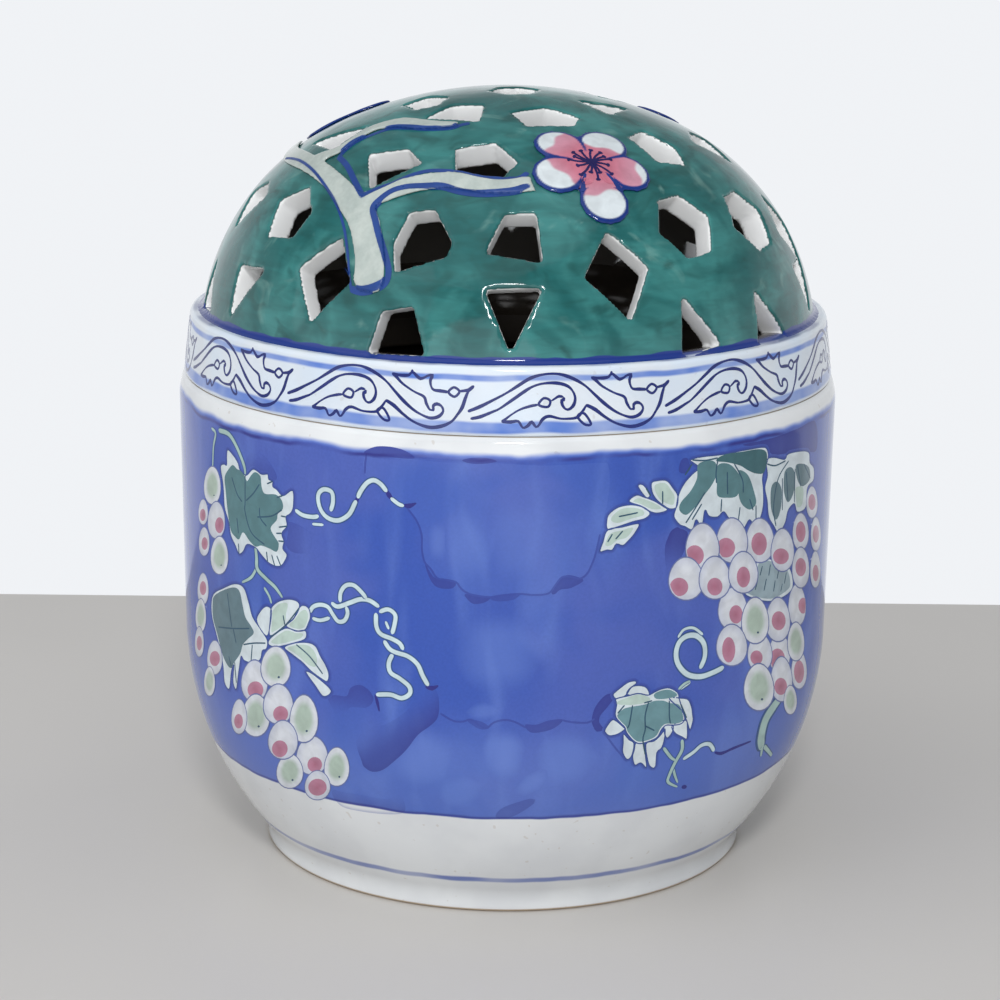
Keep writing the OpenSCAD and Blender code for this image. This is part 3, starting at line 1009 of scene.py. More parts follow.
class Paint:
    """Thin closed patches of paint that become one piece."""

    # How deep the patches reach under the surface, and how much a stroke rises along its way
    SINK = 0.03
    RISE = 0.003
    # Share of a wide stroke over which its ends fade, and the angle from which an edge is sharp
    FADE = 0.35
    SHARP = math.radians(35)

    def __init__(self, name, turns=(0.0,)):
        self.name = name
        self.turns = turns
        self.points = []
        self.faces = []
        self.values = []

    def patch(self, face, flat, tops, values, lifts):
        """Adds a patch: flat points, polygons over them, and a colour or number and a lift for each point."""
        count = len(flat)
        edges = {(f[k - 1], f[k]) for f in tops for k in range(len(f))}
        rim = [(a, b) for a, b in edges if (b, a) not in edges]
        for turn in self.turns:
            base = len(self.points)
            self.points += [face.place(p[0], p[1], lift, turn) for p, lift in zip(flat, lifts)]
            self.points += [face.place(p[0], p[1], -self.SINK, turn) for p in flat]
            self.values += list(values) * 2
            self.faces += [[base + i for i in f] for f in tops]
            self.faces += [[base + count + i for i in reversed(f)] for f in tops]
            self.faces += [[base + b, base + a, base + count + a, base + count + b] for a, b in sorted(rim)]

    def stroke(self, face, points, width, lift, middle, edge=None, rows=PLAIN_ROWS, closed=False, step=0.45):
        """Brush stroke along flat points; width is a number or one for each point."""
        path = curve(points, step, closed)
        sides = across(path, closed)
        edge = middle if edge is None else edge
        run = [0.0]
        for a, b in zip(path, path[1:]):
            run.append(run[-1] + math.hypot(b[0] - a[0], b[1] - a[1]))
        flat = []
        values = []
        lifts = []
        for p, side, gone in zip(path, sides, run):
            wide = width
            if isinstance(width, (list, tuple)):
                i = min(int(p[2]), len(width) - 2)
                wide = width[i] + (width[i + 1] - width[i]) * (p[2] - i)
            if not closed:
                end = min(1, (min(gone, run[-1] - gone) + 0.04) / max(wide / 2, 0.05))
                wide *= math.sqrt(1 - (1 - end) ** 2)
            near_end = min(gone, run[-1] - gone) / max(run[-1], 1e-9)
            fade = smoothstep(0, self.FADE, near_end) if rows is WIDE_ROWS else 1
            for row, share in rows:
                flat.append((p[0] + side[0] * row * wide / 2, p[1] + side[1] * row * wide / 2))
                values.append(mixed(edge, mixed(middle, edge, share), fade))
                lifts.append(lift + self.RISE * gone / max(run[-1], 1e-9))
        n = len(rows)
        count = len(path)
        tops = []
        for i in range(count if closed else count - 1):
            j = (i + 1) % count
            tops += [[i * n + k + 1, i * n + k, j * n + k, j * n + k + 1] for k in range(n - 1)]
        self.patch(face, flat, tops, values, lifts)

    def fill(self, face, outline, lift, value, rim_value=None, rim=1.0, grid=0.8, crisp=None):
        """Filled outline, if asked with another value near its edge or fading away from its crisp side."""
        edge = np.array([p[:2] for p in outline])
        low, high = edge.min(axis=0), edge.max(axis=0)
        us, vs = np.meshgrid(np.arange(low[0], high[0], grid), np.arange(low[1], high[1], grid))
        inner = np.stack([us.ravel(), vs.ravel()], axis=1)
        a, b = edge, np.roll(edge, -1, axis=0)
        crosses = np.zeros(len(inner), dtype=int)
        nearest = np.full(len(inner), 1e9)
        for p, q in zip(a, b):
            spans = (p[1] > inner[:, 1]) != (q[1] > inner[:, 1])
            slope = (q[0] - p[0]) / (q[1] - p[1] if abs(q[1] - p[1]) > 1e-12 else 1e-12)
            crosses += spans & (inner[:, 0] < p[0] + slope * (inner[:, 1] - p[1]))
            along = np.clip(((inner - p) @ (q - p)) / max((q - p) @ (q - p), 1e-12), 0, 1)
            nearest = np.minimum(nearest, np.linalg.norm(inner - p - along[:, None] * (q - p), axis=1))
        keep = (crosses % 2 == 1) & (nearest > 0.3 * grid)
        spots = [Vector(p) for p in edge] + [Vector(p) for p in inner[keep]]
        result = delaunay_2d_cdt(spots, [], [list(range(len(edge)))], 1, 1e-5)
        flat = [tuple(p) for p in result[0]]
        tops = []
        for f in result[2]:
            (ax, ay), (bx, by), (cx, cy) = (flat[i] for i in f[:3])
            turn = (bx - ax) * (cy - ay) - (by - ay) * (cx - ax)
            if abs(turn) > 1e-9:
                tops.append(list(f) if turn > 0 else list(reversed(f)))
        deep = [0.0] * len(edge) + list(nearest[keep])
        rim_value = value if rim_value is None else rim_value
        values = []
        for source in result[3]:
            depth = deep[source[0]] if source else 0.0
            values.append(mixed(rim_value, value, smoothstep(0, rim, depth)))
        if crisp:
            reach = [p[0] * crisp[0] + p[1] * crisp[1] for p in flat]
            low, high = min(reach), max(reach)
            values = [v * smoothstep(low, low + 0.75 * (high - low), r) for v, r in zip(values, reach)]
        used = sorted({i for f in tops for i in f})
        place_of = {old: new for new, old in enumerate(used)}
        tops = [[place_of[i] for i in f] for f in tops]
        self.patch(face, [flat[i] for i in used], tops, [values[i] for i in used], [lift] * len(used))

    def build(self, material, body, attribute="paint"):
        """Makes the piece and says what carries it."""
        obj = new_object(self.name, self.points, self.faces)
        obj.data.set_sharp_from_angle(angle=self.SHARP)
        if attribute == "paint":
            set_colours(obj, attribute, self.values)
        else:
            set_floats(obj, attribute, self.values)
            set_floats(obj, "inside", [0.0] * len(self.values))
        obj.data.materials.append(material)
        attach(obj, body)
        return obj


JAR_FACE = TurnedFace(jar_radius, JAR_R)
BAND_FACE = TurnedFace(band_radius, RIM_R)

# Enlarged parts of the photograph that the painting was read from: corner in pixels, scale
UPPER_LEFT = Sketch((180, 420), 9.8, JAR_FACE)
LOWER_LEFT = Sketch((185, 580), 6.817, JAR_FACE)
UPPER_RIGHT = Sketch((590, 440), 6.272, JAR_FACE)
LOWER_RIGHT = Sketch((660, 510), 6.272, JAR_FACE)
LAST_LEAF = Sketch((590, 665), 8.711, JAR_FACE)
TENDRIL_VIEW = Sketch((290, 465), 6.272, JAR_FACE)
GROUND = Sketch((330, 420), 5.6, JAR_FACE)
LOW_GROUND = Sketch((320, 640), 4.9, JAR_FACE)
SCROLL = Sketch((480, 362), 7.84, BAND_FACE)

GRAPE_WHITE = srgb(212, 216, 224)
GRAPE_SHADE = srgb(196, 201, 216)
GRAPE_LINE = srgb(104, 116, 164)
PINK = srgb(182, 128, 152)
ROSE = srgb(170, 108, 132)
CELADON = srgb(172, 190, 178)
LEAF_WHITE = srgb(208, 219, 225)
LEAF_GREEN = srgb(86, 125, 132)
LEAF_FRESH = srgb(106, 144, 152)
LEAF_DEEP = srgb(62, 102, 110)
LEAF_GREY = srgb(96, 122, 132)
LEAF_PALE = srgb(182, 202, 194)
LEAF_MIST = srgb(148, 168, 178)
VEIN = srgb(52, 86, 108)
LEAF_LINE = srgb(58, 80, 142)
TENDRIL = srgb(196, 216, 222)
TENDRIL_EDGE = srgb(52, 84, 132)
STEM = srgb(164, 192, 188)
SCROLL_BLUE = srgb(24, 38, 108)

# Grapes: middle, half width and height, then the same of a rose spot, or None on a green grape
LEFT_EDGE_GRAPES = [
    (230, 900, 50, 115, (225, 930, 34, 60)), (240, 1190, 50, 130, (245, 1210, 32, 62)),
    (320, 640, 80, 172, None), (360, 980, 82, 168, (392, 1030, 45, 78)), (390, 1325, 78, 172, None),
]
LEFT_GRAPES = [
    (125, 60, 46, 100, (125, 55, 30, 48)), (110, 240, 52, 105, None),
    (100, 420, 42, 95, (100, 430, 28, 50)), (205, 528, 48, 108, (206, 535, 36, 52)),
    (170, 690, 55, 92, None), (372, 930, 48, 110, (368, 962, 30, 50)),
    (475, 688, 82, 132, (482, 748, 54, 58)), (620, 590, 96, 128, None), (485, 922, 86, 134, None),
    (638, 845, 98, 126, (655, 912, 54, 54)), (812, 944, 88, 150, None),
    (670, 1088, 100, 122, (647, 1150, 58, 58)), (868, 1195, 98, 122, (886, 1258, 50, 52)),
    (716, 1302, 96, 108, None), (1036, 1272, 78, 122, None), (905, 1398, 96, 92, (905, 1412, 76, 58)),
]
RIGHT_GRAPES = [
    (951, -50, 42, 92, (951, -50, 30, 50)), (975, 150, 44, 98, (976, 150, 30, 55)),
    (972, 372, 46, 106, (975, 395, 30, 52)), (880, 135, 66, 108, (880, 136, 44, 66)),
    (766, 250, 66, 124, (756, 290, 50, 50)), (880, 360, 64, 118, (880, 358, 44, 58)),
    (625, 190, 84, 128, (620, 212, 50, 72)), (450, 190, 90, 130, (412, 236, 58, 62)),
    (265, 230, 96, 136, (216, 284, 58, 64)), (162, 430, 100, 124, (118, 482, 58, 58)),
    (342, 424, 90, 124, (342, 480, 48, 56)), (520, 390, 92, 120, (521, 420, 46, 66)),
    (858, 596, 50, 122, (896, 600, 30, 50)), (455, 620, 84, 124, (475, 654, 42, 58)),
    (738, 686, 70, 128, (742, 694, 44, 60)), (595, 692, 78, 134, None), (850, 824, 50, 112, None),
    (448, 846, 96, 120, (427, 876, 45, 80)), (748, 896, 60, 118, (735, 936, 48, 68)),
    (625, 894, 82, 112, (600, 925, 45, 45)), (870, 1000, 50, 112, (870, 1014, 36, 72)),
    (760, 1060, 62, 130, (755, 1106, 40, 54)), (815, 1190, 56, 84, None), (618, 1110, 86, 136, None),
]
DOT = srgb(62, 84, 110)
DOT_FROM = 70
GRAPE_SPREAD = 1.13
GRAPE_RINGS = (0.25, 0.5, 0.75, 0.93, 0.95, 1.0)
GRAPE_SKIN = 0.94
SPOT_RINGS = (0.4, 0.7, 1.0)
SPOT_REACH = 0.93


def disc(paint, sketch, lift, rings, around, place, colour):
    """Round patch; place gives the sketch point of a ring share and angle, colour the colour of a ring."""
    flat = [sketch.flat(*place(0.0, 0.0))]
    values = [colour(0.0)]
    for ring in rings:
        for i in range(around):
            flat.append(sketch.flat(*place(ring, 2 * math.pi * i / around)))
            values.append(colour(ring))
    tops = [[0, 1 + i, 1 + (i + 1) % around] for i in range(around)]
    for k in range(len(rings) - 1):
        low, high = 1 + k * around, 1 + (k + 1) * around
        for i in range(around):
            j = (i + 1) % around
            tops.append([low + i, high + i, high + j, low + j])
    paint.patch(sketch.face, flat, tops, values, [lift] * len(flat))


def grape(paint, sketch, lift, cx, cy, half_w, half_h, spot):
    """Egg-shaped grape with a thin line about it and a rose spot or a green blush."""
    half_h *= GRAPE_SPREAD
    left, right = sketch.flat(cx - half_w, cy), sketch.flat(cx + half_w, cy)
    top, bottom = sketch.flat(cx, cy - half_h), sketch.flat(cx, cy + half_h)
    # Near the sides of the photograph a grape is no wider than it is tall
    squeeze = min(1, (top[1] - bottom[1]) / (GRAPE_SPREAD * (right[0] - left[0])))
    half_w *= GRAPE_SPREAD * squeeze

    def on_grape(ring, turn):
        narrow = 1 - 0.12 * ring * math.sin(turn)
        return (cx + ring * half_w * narrow * math.cos(turn), cy - ring * half_h * math.sin(turn))

    def skin(ring):
        if ring > GRAPE_SKIN:
            return GRAPE_LINE
        if spot:
            return mixed(GRAPE_WHITE, GRAPE_SHADE, smoothstep(0.5, GRAPE_SKIN, ring))
        return mixed(CELADON, GRAPE_WHITE, smoothstep(0.55, 0.8, ring))

    disc(paint, sketch, lift, GRAPE_RINGS, 26, on_grape, skin)

    def on_spot(ring, turn):
        x, y, w, h = spot
        du = squeeze * (x + ring * w * math.cos(turn) - cx) / half_w
        dv = (y - ring * h * math.sin(turn) - cy) / half_h
        inside = min(1, SPOT_REACH / max(math.hypot(du, dv), 1e-6))
        return (cx + du * inside * half_w, cy + dv * inside * half_h)

    def on_dot(ring, turn):
        size = 0.08 * half_w * ring
        return (cx + 0.2 * half_w + size * math.cos(turn), cy + 0.5 * half_h - size * math.sin(turn))

    if spot:
        disc(paint, sketch, lift + SPOT_STEP, SPOT_RINGS, 22, on_spot, lambda ring: mixed(ROSE, PINK, ring))
    elif half_w > DOT_FROM:
        disc(paint, sketch, lift + SPOT_STEP, (1.0,), 10, on_dot, lambda ring: DOT)


# Leaves: pale bodies, tints over them with their colours, veins
LEAVES = [
    dict(
        sketch=UPPER_LEFT,
        bodies=[[
            (470, 290), (520, 340), (570, 420), (590, 490), (650, 540), (720, 480), (800, 530), (860, 530),
            (870, 580), (910, 600), (910, 650), (950, 680), (1010, 740), (1090, 690), (1115, 720),
            (1110, 860), (1080, 920), (1040, 950), (1050, 1040), (1000, 1110), (1020, 1190), (1010, 1260),
            (1050, 1320), (1030, 1380), (990, 1430), (930, 1430), (860, 1390), (790, 1310), (740, 1250),
            (660, 1220), (620, 1290), (580, 1310), (545, 1230), (500, 1130), (480, 1000), (440, 860),
            (430, 700), (420, 600), (400, 460), (430, 430), (460, 440), (460, 350),
        ]],
        tints=[(LEAF_GREEN, [
            (480, 480), (520, 440), (560, 480), (600, 500), (640, 560), (660, 600), (700, 540), (740, 510),
            (790, 550), (800, 640), (830, 720), (940, 730), (1000, 790), (1010, 870), (960, 920),
            (950, 980), (890, 1060), (940, 1160), (970, 1210), (950, 1290), (880, 1260), (800, 1230),
            (740, 1240), (680, 1180), (620, 1100), (580, 1170), (540, 1140), (500, 1080), (470, 900),
            (450, 700), (440, 560),
        ])],
        veins=[
            [(640, 540), (640, 800), (640, 900), (700, 1100), (830, 1220)],
            [(510, 560), (560, 720), (610, 800)], [(780, 630), (720, 720), (650, 790)],
            [(1000, 880), (900, 940), (760, 950)], [(780, 860), (790, 960), (850, 1040)],
            [(560, 960), (575, 1110)], [(910, 600), (855, 625)], [(1010, 740), (950, 760)],
            [(1040, 950), (990, 940)], [(1050, 1040), (970, 1050)], [(1000, 1110), (945, 1110)],
            [(1020, 1190), (965, 1185)], [(860, 1390), (850, 1290)], [(930, 1430), (900, 1320)],
            [(990, 1430), (950, 1330)], [(580, 1310), (575, 1210)],
        ],
    ),
    dict(
        sketch=LOWER_LEFT,
        bodies=[
            [
                (200, 90), (260, 55), (340, 25), (400, 50), (435, 150), (462, 250), (520, 340), (562, 412),
                (556, 470), (528, 482), (512, 545), (450, 562), (404, 548), (384, 520), (368, 620),
                (352, 742), (330, 700), (335, 580), (318, 620), (304, 742), (272, 700), (262, 590),
                (240, 470), (215, 370), (186, 250), (182, 150),
            ],
        ],
        tints=[(LEAF_GREY, [
            (200, 110), (250, 75), (330, 50), (372, 75), (392, 160), (412, 250), (452, 315), (470, 362),
            (430, 402), (396, 440), (378, 500), (338, 560), (310, 600), (272, 545), (244, 460), (222, 370),
            (192, 250), (190, 150),
        ])],
        veins=[
            [(230, 320), (330, 330), (440, 330)], [(330, 330), (350, 430)], [(300, 520), (320, 600)],
            [(290, 90), (320, 320)], [(400, 440), (470, 430), (550, 430)], [(460, 440), (452, 550)],
            [(340, 560), (352, 700)],
        ],
    ),
    dict(
        sketch=LOWER_LEFT,
        bodies=[
            [(490, 270), (515, 212), (555, 178), (590, 205), (582, 300), (562, 380), (520, 342)],
            [
                (590, 190), (640, 145), (712, 130), (770, 148), (780, 190), (742, 260), (684, 310),
                (596, 378), (576, 360), (582, 270),
            ],
            [
                (780, 188), (812, 172), (845, 195), (856, 250), (840, 300), (818, 340), (760, 346),
                (692, 312), (742, 262),
            ],
            [
                (568, 428), (592, 388), (684, 328), (760, 348), (822, 346), (822, 400), (750, 428),
                (650, 452), (592, 452),
            ],
            [
                (680, 460), (742, 430), (832, 425), (890, 450), (925, 520), (960, 580), (982, 645),
                (970, 692), (930, 672), (862, 622), (800, 560), (738, 512),
            ],
            [(826, 628), (872, 640), (985, 735), (990, 775), (942, 792), (890, 722)],
        ],
        tints=[
            (LEAF_PALE, [
                (600, 210), (645, 162), (700, 160), (690, 230), (676, 300), (608, 350), (590, 350),
                (596, 270),
            ]),
            (LEAF_PALE, [(790, 215), (825, 205), (840, 250), (815, 320), (764, 332), (712, 308), (752, 266)]),
            (LEAF_PALE, [
                (590, 425), (612, 395), (690, 345), (760, 362), (805, 365), (795, 392), (740, 412),
                (640, 436),
            ]),
            (LEAF_PALE, [
                (700, 465), (750, 445), (825, 442), (870, 470), (900, 530), (890, 590), (840, 575),
                (790, 530), (740, 492),
            ]),
        ],
        veins=[
            [(780, 190), (684, 310), (582, 390)], [(670, 240), (682, 308)],
            [(760, 440), (850, 520), (940, 640)],
        ],
    ),
    dict(
        sketch=UPPER_RIGHT,
        bodies=[
            [
                (385, 270), (420, 255), (480, 254), (520, 300), (550, 350), (542, 420), (500, 432),
                (460, 410), (420, 378), (390, 330),
            ],
            [(300, 290), (332, 280), (376, 340), (352, 362)],
            [
                (245, 385), (290, 345), (340, 358), (400, 380), (450, 410), (485, 438), (430, 458),
                (380, 450), (320, 415),
            ],
            [
                (105, 500), (122, 460), (180, 420), (260, 406), (330, 420), (376, 458), (345, 492),
                (270, 512), (180, 542), (110, 560),
            ],
            [
                (62, 700), (80, 640), (110, 565), (200, 545), (305, 525), (282, 582), (240, 632),
                (205, 662), (165, 652), (140, 690), (105, 690),
            ],
        ],
        tints=[
            (LEAF_PALE, [(405, 285), (470, 270), (505, 310), (530, 355), (520, 405), (465, 390), (425, 355)]),
            (LEAF_PALE, [(270, 385), (300, 365), (350, 375), (420, 405), (445, 430), (385, 432), (320, 402)]),
            (LEAF_PALE, [(130, 495), (185, 438), (262, 424), (330, 440), (335, 470), (262, 492), (170, 520)]),
            (LEAF_PALE, [(95, 660), (125, 590), (200, 566), (270, 550), (230, 610), (170, 628), (130, 660)]),
        ],
        veins=[
            [(455, 320), (455, 400)], [(205, 570), (160, 622)], [(140, 590), (110, 640)],
            [(350, 300), (380, 350)], [(180, 480), (300, 455)],
        ],
    ),
    dict(
        sketch=UPPER_RIGHT,
        bodies=[[
            (630, 125), (700, 105), (830, 90), (960, 65), (1080, 45), (1110, 60), (1116, 115), (1092, 190),
            (1080, 240), (1085, 300), (1086, 400), (1070, 480), (1035, 548), (1000, 500), (962, 552),
            (928, 500), (880, 502), (838, 450), (800, 482), (746, 478), (720, 440), (700, 545), (665, 500),
            (640, 562), (592, 542), (560, 530), (526, 480), (540, 420), (556, 340), (592, 270), (640, 215),
            (682, 175), (650, 145),
        ]],
        tints=[
            (LEAF_GREEN, [
                (680, 150), (770, 130), (800, 190), (770, 270), (720, 340), (650, 430), (600, 470),
                (560, 440), (570, 390), (630, 320), (670, 240),
            ]),
            (LEAF_GREEN, [
                (800, 160), (870, 150), (930, 210), (945, 280), (920, 350), (860, 362), (800, 350),
                (795, 270),
            ]),
            (LEAF_GREEN, [
                (930, 190), (990, 220), (1030, 330), (1040, 400), (1000, 436), (950, 400), (930, 330),
                (944, 270),
            ]),
            (LEAF_DEEP, [
                (840, 92), (960, 72), (1060, 57), (1104, 76), (1108, 140), (1088, 205), (1040, 210),
                (990, 190), (940, 160), (860, 140), (790, 130),
            ]),
        ],
        veins=[
            [(800, 130), (790, 200), (792, 270)], [(860, 200), (862, 340)],
            [(905, 150), (955, 250), (960, 330)], [(720, 330), (600, 520)], [(1000, 370), (1022, 440)],
            [(640, 125), (720, 128), (800, 112)], [(825, 370), (820, 450)], [(700, 400), (640, 500)],
            [(640, 150), (596, 220)], [(940, 420), (930, 500)], [(1040, 410), (1040, 540)],
        ],
    ),
    dict(
        sketch=UPPER_RIGHT,
        bodies=[[
            (1105, 130), (1150, 108), (1220, 120), (1245, 85), (1330, 68), (1372, 80), (1378, 140),
            (1402, 175), (1400, 250), (1362, 300), (1352, 420), (1300, 452), (1280, 400), (1242, 440),
            (1222, 520), (1182, 582), (1152, 540), (1120, 480), (1110, 380), (1096, 300), (1112, 220),
        ]],
        tints=[
            (LEAF_GREY, [(1290, 160), (1340, 150), (1375, 180), (1375, 250), (1330, 290), (1300, 250)]),
            (LEAF_GREY, [(1220, 200), (1260, 170), (1285, 220), (1275, 330), (1240, 390), (1215, 320)]),
            (LEAF_GREY, [(1135, 300), (1170, 260), (1200, 310), (1195, 430), (1165, 500), (1135, 430)]),
            (LEAF_PALE, [(1290, 300), (1335, 300), (1330, 400), (1300, 420), (1290, 360)]),
        ],
        veins=[
            [(1245, 130), (1180, 240), (1150, 420), (1165, 540)], [(1230, 200), (1240, 380)],
            [(1300, 160), (1320, 290)], [(1340, 150), (1380, 240)], [(1285, 180), (1280, 390)],
            [(1205, 240), (1205, 440)], [(1110, 150), (1160, 160), (1225, 130)],
        ],
    ),
    dict(
        sketch=UPPER_RIGHT,
        bodies=[[
            (1045, 765), (1100, 740), (1240, 790), (1272, 900), (1240, 965), (1130, 1012), (1000, 985),
            (968, 940), (1030, 850),
        ]],
        tints=[(LEAF_MIST, [
            (1055, 780), (1105, 755), (1225, 800), (1255, 900), (1225, 950), (1130, 995), (1010, 972),
            (985, 940), (1045, 855),
        ])],
        veins=[
            [(1080, 790), (1065, 850)], [(1130, 780), (1120, 850)], [(1185, 800), (1172, 870)],
            [(1230, 830), (1218, 900)], [(1050, 880), (1035, 940)], [(1105, 870), (1090, 945)],
            [(1160, 880), (1150, 950)], [(1205, 900), (1195, 950)],
        ],
    ),
    dict(
        sketch=LAST_LEAF,
        bodies=[
            [(200, 258), (262, 200), (332, 150), (392, 138), (402, 160), (352, 202), (312, 262), (240, 300)],
            [(318, 250), (360, 192), (420, 178), (482, 190), (512, 230), (512, 272), (440, 262), (380, 268)],
            [(130, 562), (188, 480), (230, 488), (296, 545), (300, 562), (240, 602), (170, 616), (136, 592)],
            [(292, 600), (340, 650), (382, 682), (362, 790), (320, 822), (284, 760), (288, 680)],
            [(400, 680), (472, 690), (482, 790), (490, 892), (440, 852), (390, 872), (370, 800), (385, 740)],
            [
                (486, 690), (560, 660), (622, 600), (652, 556), (648, 640), (622, 722), (582, 762),
                (570, 880), (540, 896), (506, 850),
            ],
            [(648, 530), (722, 526), (712, 590), (672, 636), (650, 600)],
            [(716, 526), (832, 480), (846, 540), (842, 642), (800, 626), (740, 592)],
            [
                (690, 290), (790, 288), (852, 300), (882, 360), (892, 430), (896, 482), (870, 562),
                (846, 500), (800, 400),
            ],
            [
                (220, 440), (232, 340), (226, 296), (330, 268), (420, 248), (505, 262), (560, 236),
                (622, 208), (692, 200), (762, 240), (778, 300), (806, 400), (824, 470), (790, 512),
                (722, 524), (662, 524), (622, 562), (590, 622), (540, 654), (440, 684), (380, 662),
                (320, 592), (300, 540), (262, 502),
            ],
        ],
        tints=[
            (LEAF_PALE, [
                (240, 318), (330, 282), (420, 256), (500, 272), (525, 302), (470, 330), (380, 346),
                (300, 348), (240, 340),
            ]),
            (LEAF_FRESH, [
                (560, 250), (622, 222), (690, 214), (750, 245), (752, 270), (690, 288), (600, 298),
                (562, 284),
            ]),
            (LEAF_FRESH, [
                (236, 440), (292, 382), (380, 360), (480, 342), (560, 312), (640, 310), (692, 330),
                (772, 344), (798, 402), (812, 468), (786, 500), (720, 512), (656, 512), (612, 552),
                (580, 610), (536, 642), (440, 668), (388, 650), (330, 585), (312, 535), (270, 492),
            ]),
        ],
        veins=[
            [(370, 350), (340, 520), (320, 550)],
            [(510, 320), (480, 440), (480, 560), (460, 650), (480, 780)],
            [(690, 310), (690, 440), (700, 510)], [(790, 340), (840, 460)], [(480, 530), (560, 570)],
            [(300, 350), (240, 420)], [(470, 330), (540, 310)],
        ],
    ),
]

# Stems: sketch, points, widths in millimetres
STEMS = [
    (UPPER_LEFT, [(380, 100), (480, 140), (560, 270), (630, 450), (640, 545)], (1.3, 1.3, 1.2, 1.1, 0.6)),
    (UPPER_LEFT, [(310, 80), (350, 130), (330, 260), (322, 470)], (0.8, 0.9, 0.8, 0.6)),
    (UPPER_LEFT, [
        (740, 1240), (752, 1350), (760, 1460), (850, 1560), (935, 1640), (1005, 1740),
    ], (1.0, 1.2, 1.3, 1.1, 1.1, 0.7)),
    (UPPER_LEFT, [(756, 1440), (700, 1540), (610, 1590)], (0.8, 0.9, 0.6)),
    (LOWER_LEFT, [(540, 50), (575, 110), (590, 160)], (0.9, 0.8, 0.7)),
    (LOWER_RIGHT, [
        (770, 1160), (715, 1230), (660, 1320), (634, 1430), (640, 1500),
    ], (2.2, 3.4, 3.8, 3.6, 2.4)),
    (LOWER_RIGHT, [(640, 1480), (632, 1545)], (1.4, 0.9)),
    (LOWER_RIGHT, [(650, 1480), (700, 1540)], (1.4, 0.9)),
    (LAST_LEAF, [(640, 720), (700, 800), (740, 830)], (0.9, 0.9, 0.6)),
    (LAST_LEAF, [
        (800, 650), (800, 740), (740, 850), (690, 960), (680, 1020), (760, 1062),
    ], (1.0, 1.1, 1.1, 1.0, 0.9, 0.5)),
    (LAST_LEAF, [(725, 900), (738, 960), (762, 1025)], (0.7, 0.8, 0.5)),
    (LAST_LEAF, [(770, 212), (820, 165), (872, 138)], (0.7, 0.8, 0.6)),
]
TENDRILS = [
    (UPPER_LEFT, [(1130, 880), (1200, 930), (1300, 950), (1360, 940)], 0.9),
    (TENDRIL_VIEW, [
        (255, 290), (270, 230), (262, 170), (215, 152), (180, 180), (180, 240), (205, 300), (250, 338),
        (310, 346), (370, 310), (405, 245), (416, 222),
    ], 0.95),
    (TENDRIL_VIEW, [(425, 208), (440, 170), (480, 115), (525, 95), (570, 120), (608, 168)], 0.95),
    (TENDRIL_VIEW, [(632, 206), (680, 244), (715, 256)], 0.8),
    (TENDRIL_VIEW, [(140, 370), (210, 375)], 0.6),
    (TENDRIL_VIEW, [
        (125, 925), (145, 890), (190, 876), (238, 890), (268, 935), (302, 980), (342, 975), (362, 930),
        (352, 888),
    ], 0.9),
    (TENDRIL_VIEW, [(140, 960), (190, 974), (250, 958)], 0.8),
    (TENDRIL_VIEW, [(315, 860), (318, 800), (350, 756), (400, 754), (450, 798), (480, 838)], 0.9),
    (TENDRIL_VIEW, [(260, 862), (300, 888), (380, 862), (440, 842), (500, 850), (560, 890)], 0.95),
    (TENDRIL_VIEW, [(540, 928), (542, 1010), (570, 1060), (640, 1090), (690, 1120), (710, 1160)], 0.95),
    (TENDRIL_VIEW, [(560, 922), (615, 905), (660, 940), (656, 1000), (640, 1060)], 0.9),
    (TENDRIL_VIEW, [(600, 980), (620, 1030)], 0.6),
    (TENDRIL_VIEW, [
        (590, 1100), (622, 1150), (662, 1174), (740, 1200), (800, 1250), (832, 1320), (868, 1385),
    ], 0.95),
    (TENDRIL_VIEW, [
        (645, 1185), (620, 1240), (630, 1300), (690, 1340), (748, 1390), (750, 1436), (700, 1462),
        (630, 1440), (540, 1440),
    ], 0.95),
    (LOWER_RIGHT, [
        (400, 985), (330, 1020), (250, 1045), (170, 1030), (115, 970), (100, 900), (120, 830), (170, 790),
        (230, 790), (275, 840), (280, 920), (250, 995),
    ], 1.15),
    (LOWER_RIGHT, [(112, 800), (150, 750), (210, 740), (268, 782)], 0.6),
    (LOWER_RIGHT, [(190, 1075), (120, 1122)], 0.9),
    (LAST_LEAF, [(810, 820), (900, 760), (970, 700), (1040, 690), (1080, 750)], 0.9),
]

# Lower edge of the lighter pool of blue in the middle, the pool above it, and how light it is
POOL_EDGE = [
    (430, 490), (485, 565), (512, 640), (515, 730), (530, 795), (565, 835), (600, 885), (650, 895),
    (705, 908), (735, 945), (775, 972), (830, 985), (900, 992), (960, 982), (1060, 974), (1150, 980),
    (1225, 970), (1262, 925), (1300, 880), (1350, 878), (1400, 888), (1440, 860), (1470, 800), (1490, 740),
    (1512, 640),
]
POOL = [
    (200, 200), (330, 195), (480, 222), (700, 240), (930, 242), (1200, 255), (1500, 240), (1560, 262),
    (1560, 420),
] + POOL_EDGE[::-1] + [(330, 430), (240, 340), (195, 300)]
POOL_LIGHT = -0.12
